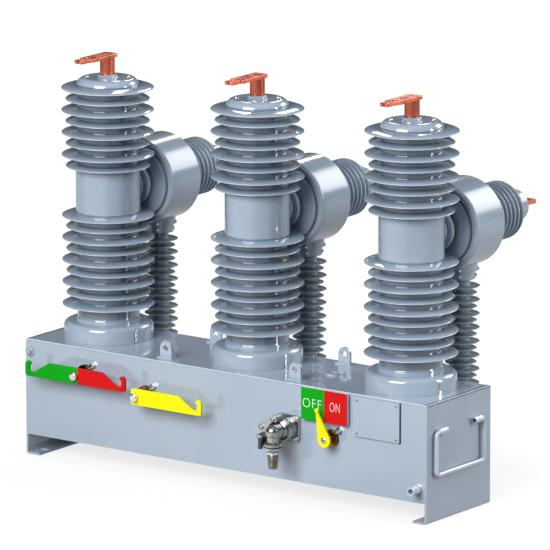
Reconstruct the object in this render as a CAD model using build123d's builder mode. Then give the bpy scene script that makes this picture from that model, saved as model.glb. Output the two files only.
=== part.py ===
from build123d import *
import math
import os

os.makedirs("parts", exist_ok=True)

# Millimetres. X runs along the tank, the front panel faces -Y, +Z is up.
# The origin lies under the middle of the tank on the plane the feet stand on.

# Tank
tank_length = 900
tank_depth = 200
tank_top = 218
foot_height = 38
wrap_sheet = 3
end_sheet = 4
bend_radius = 5
foot_flange = 30
foot_slot_width = 11
foot_slot_length = 18
foot_slot_spacing = 140
front = -tank_depth / 2
back = tank_depth / 2
inner_end = tank_length / 2 - end_sheet
flange_bolt_x = tank_length / 2 - foot_flange / 2 - 2

# Poles
pole_spacing = 340
pole_y = 8
poles = {"a": -pole_spacing, "b": 0, "c": pole_spacing}
shed_step = 20.75
upper_shed_count = 8
lower_shed_count = 9
foot_clearance = 31
barrel_gap = 92.75
shed_rim = 2
large_shed = 85
small_shed = 77.5
core_radius = 57
barrel_radius = 59.5
shed_rise = 6.5
shed_drop = 2
ring_radius = 83
ring_height = 32
ring_round = 11
ring_bore = 42
seat_depth = 4
ring_top = tank_top + ring_height
bushing_foot = ring_top - seat_depth
lower_first_shed = ring_top + foot_clearance + (lower_shed_count - 1) * shed_step
top_shed = lower_first_shed + barrel_gap + (upper_shed_count - 1) * shed_step
dome_rise = 19
dome_edge = 8
dome_top = top_shed + dome_rise
pole_bore = 38
boss_radius = 18
boss_height = 6
crown_depth = 64
pole_bore_top = dome_top - crown_depth
terminal_radius = 13.75
terminal_rise = 31
terminal_top = dome_top + boss_height + terminal_rise
pad_thickness = 6.5
pad_width = 30
pad_tip_width = 20
pad_back = 15
pad_shoulder = 64
pad_reach = 88
pad_first_hole = 33
pad_hole_gap = 22
pad_hole = 5.5
pad_tip_hole = 4.5

# Current transformer and rear bushing, turned about an axis along +Y
axis_rise = 46
rear_axis = lower_first_shed + axis_rise
conductor_radius = 10
neck_ring_radii = (32, 40)
neck_ring_starts = (57, 69)
neck_ring_width = 9
neck_shoulder = 3.5
neck_radius = 26
sleeve_radius = 22
disc_radius = 66
disc_start = 86
disc_sheet = 4
drum_start = disc_start + disc_sheet
drum_length = 87
drum_radius = 81
drum_chamfer = 6
drum_end = drum_start + drum_length
rear_shed_radius = 54
rear_small_radius = 49
rear_core_radius = 42
rear_shed_step = 12.5
rear_shed_count = 8
rear_cap_radius = 30
rear_cap_length = 47
rear_shed_gap = 6
rear_cap_end = drum_end + rear_shed_gap + rear_shed_count * rear_shed_step + rear_cap_length
lug_reach = 53
lug_width = 26

# Post insulator under each transformer
post_offset = 157
post_y = pole_y + post_offset
post_large = 34
post_small = 29
post_core = 16.5
post_step = 12.8
post_shed_count = 15
post_first_shed = 14
holder_radius = 30
holder_cup_radius = 26
holder_cup_height = 15
holder_seat = 12
holder_drop = 104.5
holder_foot = rear_axis - holder_drop
shelf_depth = 38
shelf_top = tank_top - shelf_depth
shelf_sheet = 5
bracket_width = 56
bracket_drop = 84
bracket_screw_x = 22
bracket_screw_drops = (24, 66)
bracket_screw = 7
bracket_screw_height = 5
post_base_radius = 26
post_base_height = 8

# Inside the tank
shaft_radius = 10
shaft_y = -50
shaft_z = 120
shaft_half = 400
bearing_x = 392
bearing_sheet = 10
bearing_wall = 9
crank_reach = pole_y - shaft_y
crank_sheet = 6
crank_pin = 4
stroke = 9
running_fit = 0.05
free_gap = 0.5
rod_radius = 9
stem_radius = 8
collector_radius = 15
collector_height = 30
collector_foot = rear_axis - collector_height / 2
rod_top = collector_foot - stroke - 5
bottle_radius = 34
bottle_clearance = 27
bottle_foot = rear_axis + collector_height / 2 + bottle_clearance
stem_depth = 45
stem_top = bottle_foot + stem_depth
bottle_bore_top = stem_top + stroke + 2 * free_gap
shaft_hole = 30

# Levers and pointer on the front panel
lever_standoff = 30
lever_sheet = 5
lever_half_height = 15
lever_shaft_radius = 6
trip_x, trip_z = -309.5, 173
trip_reach = 115
charge_x, charge_z = -171, 153
charge_reach = 149
hook_slope = 54
pointer_x, pointer_z = 244, 130.5
pointer_reach = 55
pointer_lean = 17.5
pointer_hub = 13.5
pointer_neck = 1.75
pointer_ball = 4
pointer_standoff = 22
pointer_sheet = 4
pointer_head = 5.75
pointer_head_height = 2.5
bushing_radius = 15.5
bushing_depth = 9
bolt_head = 8.5
bolt_height = 9

# Plates, connector and small fittings
plate_depth = 4
sign_depth = 9
sign_x, sign_z, sign_w, sign_h = 232.5, 188, 101, 59
tag_x, tag_z, tag_w, tag_h = 344, 178.5, 98, 73
socket_x, socket_z = 152, 138
socket_square = 46
socket_depth = 7
coupling_radius = 21
coupling_bore = 14
coupling_length = 18
collar_radius = 17
collar_depth = 10
elbow_reach = 53
elbow_y = front - elbow_reach
elbow_radius = 13
elbow_neck = 11
nut_radius = 16.5
nut_top = 19
nut_foot = 34
neck_rim = 10.8
neck_foot = 41
stub_radius = 10.4
stub_tip_radius = 8.4
stub_bore = 6
stub_foot = socket_z - 67
clamp_width = 6
clamp_wall = 3
clamp_ears = ((-6, 20), (-31, 3), (-20, -28))
clamp_ear_radius = 8
clamp_reach = 20
hanger_x, hanger_z = -28.5, -8
hanger_size = 13
hanger_sheet = 5
hanger_length = 27
clamp_screw_radius = 4.5
clamp_screw_head = 4
lug_x = 145
front_lug_y, rear_lug_y = -74, 78
lug_tab_width = 26
lug_tab_height = 32
lug_tab_sheet = 5
lug_hole = 5.5
plug_x, plug_y, plug_radius = 174, 0, 13
handle_y = -3.5
handle_half = 73.5
handle_z = 165
handle_drop = 78
handle_rod = 4.5
sleeve_half_gap = 43
sleeve_length = 23
sleeve_outer = 6
sleeve_recess = 9
earth_inset = 17.5
earth_x, earth_z = tank_length / 2 - earth_inset, 64
earth_radius = 8
earth_length = 25
stud_inset = 10
stud_x, stud_z = stud_inset - tank_length / 2, 195


def upright(x, y, z=0):
    return Plane(origin=(x, y, z), x_dir=(1, 0, 0), z_dir=(0, -1, 0))


def along_y(x, z, y=0):
    return Plane(origin=(x, y, z), x_dir=(1, 0, 0), z_dir=(0, 0, 1))


def facing_front(x, z, y=front):
    return Plane(origin=(x, y, z), x_dir=(1, 0, 0), z_dir=(0, -1, 0))


def save(piece, label):
    piece.part.label = label
    export_step(piece.part, "parts/" + label + ".step")


def turned(planes, points):
    """One solid of revolution on each plane, about the plane's own y axis."""
    with BuildPart() as piece:
        for plane in planes:
            with BuildSketch(plane):
                with BuildLine():
                    Polyline(*points, close=True)
                make_face()
            revolve(axis=Axis(plane.origin, plane.y_dir))
    return piece


def shed_points(tips, core, rise, drop):
    """Outline of a stack of sheds from the top down, as (radius, level) points."""
    points = []
    for radius, level in tips:
        points += [(core, level + rise), (radius, level + shed_rim / 2), (radius, level - shed_rim / 2)]
        points += [(core, level - drop)]
    return points


# Tank: one bent sheet makes the front, the top and the back
def make_wrap():
    half = tank_depth / 2
    with BuildPart() as wrap:
        with BuildSketch(Plane.YZ.offset(-inner_end)):
            with Locations((0, (tank_top + foot_height) / 2)):
                Rectangle(tank_depth, tank_top - foot_height)
            with Locations((0, (tank_top - wrap_sheet + foot_height) / 2)):
                inner_height = tank_top - wrap_sheet - foot_height
                Rectangle(tank_depth - 2 * wrap_sheet, inner_height, mode=Mode.SUBTRACT)
        extrude(amount=2 * inner_end)
        top_edges = wrap.edges().filter_by(Axis.X).filter_by_position(Axis.Z, tank_top - 0.1, tank_top + 0.1)
        fillet(top_edges.filter_by(lambda e: abs(abs(e.center().Y) - half) < 0.1), bend_radius)
        with BuildSketch(Plane.XY.offset(tank_top)):
            with Locations(*[(x, pole_y) for x in poles.values()]):
                Circle(shaft_hole)
            with Locations((plug_x, plug_y)):
                Circle(plug_radius - 4)
        extrude(amount=-wrap_sheet, mode=Mode.SUBTRACT)
        with BuildSketch(facing_front(0, 0)):
            with Locations((trip_x, trip_z), (charge_x, charge_z), (pointer_x, pointer_z)):
                Circle(bushing_radius - 4)
            with Locations((socket_x, socket_z)):
                Circle(coupling_radius - 3)
        extrude(amount=-wrap_sheet, mode=Mode.SUBTRACT)
    save(wrap, "tank_wrap")


def make_end(side, label):
    with BuildPart() as plate:
        with BuildSketch(Plane.XZ.offset(-back)):
            with BuildLine():
                Polyline(
                    (side * inner_end, end_sheet),
                    (side * inner_end, tank_top),
                    (side * tank_length / 2, tank_top),
                    (side * tank_length / 2, 0),
                    (side * (tank_length / 2 - foot_flange), 0),
                    (side * (tank_length / 2 - foot_flange), end_sheet),
                    close=True,
                )
            make_face()
        extrude(amount=tank_depth)
        outer_bend = plate.edges().filter_by(Axis.Y).filter_by_position(Axis.Z, -0.1, 0.1)
        fillet(outer_bend.sort_by(Axis.X)[-1 if side > 0 else 0], bend_radius)
        with BuildSketch(Plane.XY):
            with Locations(*[(side * flange_bolt_x, s * foot_slot_spacing / 2) for s in (-1, 1)]):
                SlotOverall(foot_slot_length, foot_slot_width)
        extrude(amount=end_sheet, mode=Mode.SUBTRACT)
        level = tank_top
        top_corners = plate.edges().filter_by(Axis.X).filter_by_position(Axis.Z, level - 0.1, level + 0.1)
        fillet(top_corners, bend_radius)
    save(plate, label)


def make_floor():
    with BuildPart() as floor:
        with BuildSketch(Plane.XY.offset(foot_height)):
            Rectangle(2 * inner_end, tank_depth - 2 * wrap_sheet)
        extrude(amount=wrap_sheet)
    save(floor, "tank_floor")


def make_lifting_lugs(y, label):
    round_top = lug_tab_width / 2
    straight = lug_tab_height - round_top - 3
    with BuildPart() as lugs:
        for side in (-1, 1):
            x = side * lug_x
            with BuildSketch(upright(x, y - lug_tab_sheet / 2)):
                with Locations((0, tank_top + 3 + straight / 2)):
                    Rectangle(lug_tab_width, straight)
                with Locations((0, tank_top + 3 + straight)):
                    Circle(round_top)
                    Circle(lug_hole, mode=Mode.SUBTRACT)
            extrude(amount=-lug_tab_sheet)
            with BuildSketch(Plane.XY.offset(tank_top)):
                with Locations((x, y)):
                    Rectangle(lug_tab_width + 8, 3 * lug_tab_sheet)
            extrude(amount=3)
    save(lugs, label)


def make_filler_plug():
    depth = tank_top - wrap_sheet
    level = tank_top + 3
    recess = tank_top + 1.5
    points = [(0, depth), (plug_radius - 4, depth), (plug_radius - 4, tank_top), (plug_radius, tank_top)]
    points += [(plug_radius, level), (plug_radius - 3, level), (plug_radius - 3, recess), (0, recess)]
    save(turned([upright(plug_x, plug_y)], points), "filler_plug")


# One pole: moulded bushing with its sheds, foot ring, terminal and pad
def make_bushing(x, label):
    upper = [
        (large_shed if n % 2 == 0 else small_shed, top_shed - n * shed_step)
        for n in range(upper_shed_count)
    ]
    lower = [
        (large_shed if n % 2 == 0 else small_shed, lower_first_shed - n * shed_step)
        for n in range(lower_shed_count)
    ]
    barrel_top = upper[-1][1] - shed_drop - 3
    barrel_foot = lower_first_shed + shed_rise + 2
    points = [(0, dome_top), (core_radius - 14, dome_top), (core_radius - 5, dome_top - 3)]
    points += [(core_radius, dome_top - dome_edge)]
    points += shed_points(upper, core_radius, shed_rise, shed_drop)
    points += [(barrel_radius, barrel_top), (barrel_radius, barrel_foot)]
    points += shed_points(lower, core_radius, shed_rise, shed_drop)
    points += [(core_radius, bushing_foot), (pole_bore, bushing_foot), (pole_bore, pole_bore_top)]
    points += [(0, pole_bore_top)]
    with BuildPart() as bushing:
        with BuildSketch(upright(x, pole_y)):
            with BuildLine():
                Polyline(*points, close=True)
            make_face()
        revolve(axis=Axis((x, pole_y, 0), (0, 0, 1)))
        with BuildSketch(Plane.XY.offset(dome_top)):
            with Locations((x, pole_y)):
                Circle(boss_radius)
        extrude(amount=boss_height)
        with BuildSketch(Plane.XY.offset(pole_bore_top)):
            with Locations((x, pole_y)):
                Circle(terminal_radius)
        extrude(amount=dome_top + boss_height - pole_bore_top, mode=Mode.SUBTRACT)
        with BuildSketch(facing_front(x, rear_axis, pole_y + barrel_radius + 1)):
            Circle(neck_radius)
        extrude(amount=barrel_radius + 1 - neck_ring_starts[0], mode=Mode.SUBTRACT)
        with BuildSketch(facing_front(x, rear_axis, pole_y + barrel_radius)):
            Circle(conductor_radius)
        extrude(amount=barrel_radius, mode=Mode.SUBTRACT)
    save(bushing, label)


def make_rings():
    points = [(ring_bore, tank_top), (ring_radius, tank_top), (ring_radius, ring_top - ring_round)]
    for step in range(1, 4):
        turn = math.radians(30 * step)
        points.append(
            (
                ring_radius - ring_round * (1 - math.cos(turn)),
                ring_top - ring_round * (1 - math.sin(turn)),
            )
        )
    points += [(core_radius, ring_top), (core_radius, bushing_foot), (ring_bore, bushing_foot)]
    save(turned([upright(x, pole_y) for x in poles.values()], points), "foot_rings")


def make_terminals():
    points = [(0, pole_bore_top), (terminal_radius, pole_bore_top), (terminal_radius, terminal_top)]
    points += [(0, terminal_top)]
    save(turned([upright(x, pole_y) for x in poles.values()], points), "terminals")


def make_pad(x, label):
    with BuildPart() as pad:
        with BuildSketch(Plane.XY.offset(terminal_top)):
            with Locations((x, pole_y + (pad_back - pad_shoulder) / 2)):
                Rectangle(pad_width, pad_shoulder + pad_back)
            with Locations((x, pole_y - (pad_shoulder + pad_reach) / 2)):
                Rectangle(pad_tip_width, pad_reach - pad_shoulder)
        extrude(amount=pad_thickness)
        fillet(pad.edges().filter_by(Axis.Z).sort_by(Axis.Y)[0:2], pad_tip_width / 4)
        fillet(pad.edges().filter_by(Axis.Z).sort_by(Axis.Y)[-2:], pad_width / 4)
        with BuildSketch(Plane.XY.offset(terminal_top)):
            with Locations((x, pole_y - pad_reach + 12)):
                Circle(pad_tip_hole)
            with Locations(*[(x, pole_y - pad_first_hole - n * pad_hole_gap) for n in (0, 1)]):
                Circle(pad_hole)
        extrude(amount=pad_thickness, mode=Mode.SUBTRACT)
    save(pad, label)


# Behind each pole: stepped neck, transformer drum, rear bushing and lug
def make_neck(x, label):
    points = [(conductor_radius, neck_ring_starts[0]), (neck_radius, neck_ring_starts[0])]
    for radius, start in zip(neck_ring_radii, neck_ring_starts):
        shoulder = start + neck_shoulder if start == neck_ring_starts[0] else start
        points += [(neck_radius, shoulder), (radius, shoulder)]
        points += [(radius, start + neck_ring_width), (neck_radius, start + neck_ring_width)]
    points += [(neck_radius, disc_start), (disc_radius, disc_start), (disc_radius, drum_start)]
    points += [(sleeve_radius, drum_start), (sleeve_radius, drum_end), (conductor_radius, drum_end)]
    tidy = [points[0]]
    for point in points[1:]:
        if math.dist(point, tidy[-1]) > 0.01:
            tidy.append(point)
    save(turned([along_y(x, rear_axis)], [(r, y + pole_y) for r, y in tidy]), label)


def make_drum(x, label):
    start, end = pole_y + drum_start, pole_y + drum_end
    points = [(sleeve_radius, start), (drum_radius - drum_chamfer, start)]
    points += [(drum_radius, start + drum_chamfer), (drum_radius, end - 2)]
    points += [(drum_radius - 2, end), (sleeve_radius, end)]
    save(turned([along_y(x, rear_axis)], points), label)


def make_rear_bushing(x, label):
    start = pole_y + drum_end
    points = [(conductor_radius, start), (rear_core_radius, start)]
    for n in range(rear_shed_count):
        tip = rear_small_radius if n == rear_shed_count - 1 else rear_shed_radius
        level = start + rear_shed_gap + (n + 0.5) * rear_shed_step
        points += [(rear_core_radius, level - 3.5), (tip, level), (rear_core_radius, level + 3.5)]
    sheds_end = start + rear_shed_gap + rear_shed_count * rear_shed_step
    end = pole_y + rear_cap_end
    points += [(rear_core_radius, sheds_end - 3), (rear_cap_radius, sheds_end + 2)]
    points += [(rear_cap_radius, end - 2), (rear_cap_radius - 2, end), (conductor_radius, end)]
    save(turned([along_y(x, rear_axis)], points), label)


def make_rear_lugs():
    end = pole_y + rear_cap_end
    start = pole_y + collector_radius - 1
    with BuildPart() as lugs:
        for x in poles.values():
            with BuildSketch(facing_front(x, rear_axis, end)):
                Circle(conductor_radius)
            extrude(amount=end - start)
            with BuildSketch(facing_front(x, rear_axis, end)):
                Rectangle(lug_width, pad_thickness)
            extrude(amount=-lug_reach)
        tip = end + lug_reach
        corners = lugs.edges().filter_by(Axis.Z).filter_by_position(Axis.Y, tip - 1, tip + 1)
        fillet(corners, lug_width / 3)
        with BuildSketch(Plane.XY.offset(rear_axis - pad_thickness / 2)):
            with Locations(*[(x, end + lug_reach - 16) for x in poles.values()]):
                Circle(6)
        extrude(amount=pad_thickness, mode=Mode.SUBTRACT)
        with BuildSketch(Plane.XY.offset(rear_axis - conductor_radius)):
            with Locations(*[(x, pole_y) for x in poles.values()]):
                Circle(collector_radius)
        extrude(amount=2 * conductor_radius, mode=Mode.SUBTRACT)
    save(lugs, "rear_lugs")


def make_post(x, label):
    points = [(0, holder_foot), (post_core + 4, holder_foot), (post_core, holder_foot - 4)]
    for n in range(post_shed_count):
        tip = post_large if n % 2 == 0 else post_small
        level = holder_foot - post_first_shed - n * post_step
        points += [(post_core, level + 3.5), (tip, level), (post_core, level - 2.5)]
    foot = shelf_top
    points += [(post_core, foot + post_base_height), (post_base_radius, foot + post_base_height)]
    points += [(post_base_radius, foot), (0, foot)]
    save(turned([upright(x, post_y)], points), label)


def make_holders():
    with BuildPart() as holders:
        with BuildSketch(Plane.XY.offset(holder_foot)):
            with Locations(*[(x, post_y) for x in poles.values()]):
                Circle(holder_cup_radius)
        extrude(amount=holder_cup_height)
        with BuildSketch(Plane.XY.offset(holder_foot + holder_cup_height)):
            with Locations(*[(x, post_y) for x in poles.values()]):
                Circle(holder_radius)
        extrude(amount=holder_drop - drum_radius - holder_cup_height + holder_seat)
        with BuildSketch(facing_front(0, rear_axis, post_y + holder_radius + 1)):
            with Locations(*[(x, 0) for x in poles.values()]):
                Circle(drum_radius)
        extrude(amount=2 * holder_radius + 2, mode=Mode.SUBTRACT)
    save(holders, "post_holders")


def make_brackets():
    reach = post_offset + pole_y + post_large - back
    with BuildPart() as brackets:
        for x in poles.values():
            with BuildSketch(Plane.YZ.offset(x - bracket_width / 2)):
                with BuildLine():
                    Polyline(
                        (back, shelf_top - bracket_drop),
                        (back, shelf_top),
                        (back + reach, shelf_top),
                        (back + reach, shelf_top - shelf_sheet),
                        (back + shelf_sheet, shelf_top - shelf_sheet),
                        (back + shelf_sheet, shelf_top - bracket_drop),
                        close=True,
                    )
                make_face()
            extrude(amount=bracket_width)
            with BuildSketch(Plane.YZ.offset(x - shelf_sheet / 2)):
                with BuildLine():
                    Polyline(
                        (back + shelf_sheet, shelf_top - shelf_sheet),
                        (back + reach - 10, shelf_top - shelf_sheet),
                        (back + shelf_sheet, shelf_top - bracket_drop + 10),
                        close=True,
                    )
                make_face()
            extrude(amount=shelf_sheet)
    save(brackets, "rear_brackets")


def make_bracket_screws():
    spots = [
        (x + side * bracket_screw_x, shelf_top - drop)
        for x in poles.values()
        for side in (-1, 1)
        for drop in bracket_screw_drops
    ]
    with BuildPart() as screws:
        with BuildSketch(facing_front(0, 0, back + shelf_sheet + bracket_screw_height)):
            with Locations(*spots):
                RegularPolygon(bracket_screw, 6)
        extrude(amount=bracket_screw_height)
    save(screws, "bracket_screws")


# Inner works: bottles and collectors in the poles, cross shaft and drive rods
def make_bottles():
    with BuildPart() as bottles:
        with BuildSketch(Plane.XY.offset(bottle_foot)):
            with Locations(*[(x, pole_y) for x in poles.values()]):
                Circle(bottle_radius)
        extrude(amount=pole_bore_top - bottle_foot)
        with BuildSketch(Plane.XY.offset(bottle_foot)):
            with Locations(*[(x, pole_y) for x in poles.values()]):
                Circle(stem_radius + free_gap)
        extrude(amount=bottle_bore_top - bottle_foot, mode=Mode.SUBTRACT)
    save(bottles, "vacuum_bottles")


def make_collectors():
    with BuildPart() as collectors:
        with BuildSketch(Plane.XY.offset(collector_foot)):
            with Locations(*[(x, pole_y) for x in poles.values()]):
                Circle(collector_radius)
                Circle(stem_radius + running_fit, mode=Mode.SUBTRACT)
        extrude(amount=collector_height)
    save(collectors, "contact_collectors")


def make_drive_rods():
    cheek = 6
    gap_width = crank_sheet + 2 * free_gap
    clevis_width = gap_width + 2 * cheek
    clevis_foot = shaft_z - 12
    clevis_top = shaft_z + 34
    with BuildPart() as rods:
        for x in poles.values():
            with BuildSketch(Plane.XY.offset(clevis_foot)):
                with Locations((x, pole_y)):
                    Rectangle(clevis_width, 18)
            extrude(amount=clevis_top - clevis_foot)
            with BuildSketch(Plane.XY.offset(clevis_foot)):
                with Locations((x, pole_y)):
                    Rectangle(gap_width, 18)
            extrude(amount=34, mode=Mode.SUBTRACT)
            with BuildSketch(Plane.YZ.offset(x - clevis_width / 2)):
                with Locations((pole_y, shaft_z)):
                    Circle(crank_pin)
            extrude(amount=clevis_width)
            with BuildSketch(Plane.XY.offset(clevis_top)):
                with Locations((x, pole_y)):
                    Circle(rod_radius)
            extrude(amount=rod_top - clevis_top)
            with BuildSketch(Plane.XY.offset(rod_top)):
                with Locations((x, pole_y)):
                    Circle(stem_radius)
            extrude(amount=stem_top - rod_top)
    save(rods, "drive_rods")


def make_cross_shaft():
    with BuildPart() as shaft:
        with BuildSketch(Plane.YZ.offset(-shaft_half)):
            with Locations((shaft_y, shaft_z)):
                Circle(shaft_radius)
        extrude(amount=2 * shaft_half)
        for x in poles.values():
            with BuildSketch(Plane.YZ.offset(x - crank_sheet / 2)):
                with Locations((shaft_y, shaft_z)):
                    Circle(shaft_radius + 7)
                with Locations((shaft_y + crank_reach / 2, shaft_z)):
                    Rectangle(crank_reach, 20)
                with Locations((shaft_y + crank_reach, shaft_z)):
                    Circle(10)
                    SlotCenterToCenter(3, 2 * (crank_pin + free_gap), mode=Mode.SUBTRACT)
            extrude(amount=crank_sheet)
    save(shaft, "cross_shaft")


def make_bearings():
    floor_top = foot_height + wrap_sheet
    with BuildPart() as bearings:
        for x in (-bearing_x, bearing_x):
            with BuildSketch(Plane.YZ.offset(x - bearing_sheet / 2)):
                with Locations((shaft_y, shaft_z)):
                    Circle(shaft_radius + bearing_wall)
                with Locations((shaft_y, (shaft_z + floor_top) / 2)):
                    Rectangle(2 * (shaft_radius + bearing_wall), shaft_z - floor_top)
                with Locations((shaft_y, shaft_z)):
                    Circle(shaft_radius + running_fit, mode=Mode.SUBTRACT)
            extrude(amount=bearing_sheet)
    save(bearings, "shaft_bearings")


# Front levers: flat hooked plates on short shafts through the panel
def hook_outline(reach, side, start):
    half = lever_half_height
    points = [
        (start, -half),
        (reach - 4, -half),
        (reach, -half + 4),
        (reach, half - 8),
        (reach - 2, half - 3),
        (reach - 6, half - 1.5),
        (reach - 11, half - 3),
        (reach - 13, half - 7),
        (reach - 10, half - 10),
        (reach - 8.5, half - 13),
        (reach - 9.5, -half + 11),
        (reach - 14, -half + 8.5),
        (reach - 19, -half + 10),
        (reach - hook_slope, half),
        (start, half),
    ]
    return [(side * px, pz) for px, pz in points]


def make_lever_plate(x, z, reach, side, start, label):
    with BuildPart() as plate:
        with BuildSketch(facing_front(x, z, front - lever_standoff)):
            with BuildLine():
                Polyline(*hook_outline(reach, side, start), close=True)
            make_face()
            Circle(lever_shaft_radius - 2, mode=Mode.SUBTRACT)
        extrude(amount=lever_sheet)
    save(plate, label)


def make_lever_shaft(x, z, standoff, sheet, head, head_height, label):
    """Stepped shaft: hex head, neck through the plate, shoulder behind it, collar inside the panel."""
    back_face = front - standoff
    inner = front + wrap_sheet
    with BuildPart() as shaft:
        with BuildSketch(facing_front(x, z, back_face - sheet)):
            RegularPolygon(head, 6)
        extrude(amount=head_height)
        with BuildSketch(facing_front(x, z, back_face)):
            Circle(lever_shaft_radius - 2)
        extrude(amount=sheet)
        with BuildSketch(facing_front(x, z, inner + 30)):
            Circle(lever_shaft_radius)
        extrude(amount=30 + wrap_sheet + standoff)
        with BuildSketch(facing_front(x, z, inner + 10)):
            Circle(bushing_radius)
        extrude(amount=10 - bushing_depth / 2)
    save(shaft, label)


def make_shaft_bushings():
    spots = [(trip_x, trip_z), (charge_x, charge_z), (pointer_x, pointer_z)]
    with BuildPart() as bushings:
        with BuildSketch(facing_front(0, 0)):
            with Locations(*spots):
                Circle(bushing_radius)
        extrude(amount=bushing_depth)
        with BuildSketch(facing_front(0, 0, front + wrap_sheet)):
            with Locations(*spots):
                Circle(bushing_radius - 4)
        extrude(amount=wrap_sheet)
        with BuildSketch(facing_front(0, 0, front + wrap_sheet)):
            with Locations(*spots):
                Circle(lever_shaft_radius + running_fit)
        extrude(amount=wrap_sheet + bushing_depth, mode=Mode.SUBTRACT)
    save(bushings, "shaft_bushings")


def make_grease_pins():
    spots = [(trip_x, trip_z), (charge_x, charge_z), (pointer_x, pointer_z)]
    lean = math.radians(45)
    with BuildPart() as pins:
        for x, z in spots:
            spot = Plane(
                origin=(
                    x + (bushing_radius - 0.5) * math.cos(lean),
                    front - bushing_depth / 2,
                    z + (bushing_radius - 0.5) * math.sin(lean),
                ),
                z_dir=(math.cos(lean), 0, math.sin(lean)),
            )
            with BuildSketch(spot):
                Circle(3)
            extrude(amount=7)
            with BuildSketch(spot.offset(7)):
                Circle(4.5)
            extrude(amount=6)
        with BuildSketch(facing_front(0, 0, front + 1)):
            with Locations(*spots):
                Circle(bushing_radius)
        extrude(amount=bushing_depth + 2, mode=Mode.SUBTRACT)
    save(pins, "grease_pins")


def make_pointer():
    lean = math.radians(pointer_lean)
    tip = (-math.sin(lean) * pointer_reach, math.cos(lean) * pointer_reach)
    with BuildPart() as pointer:
        with BuildSketch(facing_front(pointer_x, pointer_z, front - pointer_standoff)):
            Circle(pointer_hub)
            with Locations(tip):
                Circle(pointer_neck)
            make_hull()
            with Locations(tip):
                Circle(pointer_ball)
            Circle(lever_shaft_radius - 2, mode=Mode.SUBTRACT)
        extrude(amount=pointer_sheet)
    save(pointer, "pointer")


# Plates on the panel
def make_plate(x, z, width, height, depth, label):
    with BuildPart() as plate:
        with BuildSketch(facing_front(x, z)):
            RectangleRounded(width, height, 2)
        extrude(amount=depth)
    save(plate, label)


def make_rivets():
    spots = [
        (tag_x + sx * (tag_w / 2 - 6), tag_z + sz * (tag_h / 2 - 6)) for sx in (-1, 1) for sz in (-1, 1)
    ]
    with BuildPart() as rivets:
        with BuildSketch(facing_front(0, 0, front - plate_depth)):
            with Locations(*spots):
                Circle(3)
        extrude(amount=1.5)
    save(rivets, "nameplate_rivets")


# Connector: flanged socket, coupling ring, ball-shaped right-angle body with clamp
def make_socket():
    with BuildPart() as socket:
        with BuildSketch(facing_front(socket_x, socket_z)):
            RectangleRounded(socket_square, socket_square, 3)
        extrude(amount=socket_depth)
        with BuildSketch(facing_front(socket_x, socket_z, front + 20)):
            Circle(coupling_bore)
        extrude(amount=20)
        with BuildSketch(facing_front(socket_x, socket_z, front - socket_depth)):
            Circle(coupling_bore)
        extrude(amount=coupling_length)
    save(socket, "connector_socket")


def make_socket_screws():
    reach = socket_square / 2 - 4.5
    with BuildPart() as screws:
        with BuildSketch(facing_front(socket_x, socket_z, front - socket_depth)):
            with GridLocations(2 * reach, 2 * reach, 2, 2):
                Circle(2.5)
        extrude(amount=2)
    save(screws, "connector_screws")


def make_coupling():
    start = socket_depth + free_gap
    end = socket_depth + coupling_length - free_gap
    groove = coupling_radius - 1.5
    bore = coupling_bore + running_fit
    points = [(bore, start), (coupling_radius - 2, start), (coupling_radius, start + 2)]
    for level in (start + 5, end - 7):
        points += [(coupling_radius, level), (groove, level)]
        points += [(groove, level + 2), (coupling_radius, level + 2)]
    points += [(coupling_radius, end - 2), (coupling_radius - 2, end), (bore, end)]
    ring_plane = Plane(origin=(socket_x, front, socket_z), x_dir=(1, 0, 0), z_dir=(0, 0, -1))
    save(turned([ring_plane], points), "coupling_ring")


def make_elbow():
    start = front - socket_depth - coupling_length
    with BuildPart() as elbow:
        with BuildSketch(facing_front(socket_x, socket_z, start)):
            Circle(collar_radius)
        extrude(amount=collar_depth)
        with BuildSketch(facing_front(socket_x, socket_z, start)):
            Circle(elbow_radius)
        extrude(amount=start - elbow_y)
        with Locations((socket_x, elbow_y, socket_z)):
            Sphere(elbow_radius)
        with BuildSketch(upright(socket_x, elbow_y, socket_z)):
            with BuildLine():
                Polyline(
                    (0, 0),
                    (elbow_neck, 0),
                    (elbow_neck, -nut_top),
                    (nut_radius - 2.5, -nut_top),
                    (nut_radius, -nut_top - 3),
                    (nut_radius, -nut_foot + 4),
                    (nut_radius - 3, -nut_foot),
                    (neck_rim, -nut_foot),
                    (neck_rim, -neck_foot),
                    (0, -neck_foot),
                    close=True,
                )
            make_face()
        revolve(axis=Axis((socket_x, elbow_y, socket_z), (0, 0, 1)))
    save(elbow, "elbow_body")


def make_stub():
    top = socket_z - neck_foot
    points = [(stub_bore, top - 8), (0, top - 8), (0, top), (stub_radius, top)]
    points += [(stub_tip_radius, stub_foot), (stub_bore, stub_foot)]
    save(turned([upright(socket_x, elbow_y)], points), "cable_stub")


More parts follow.
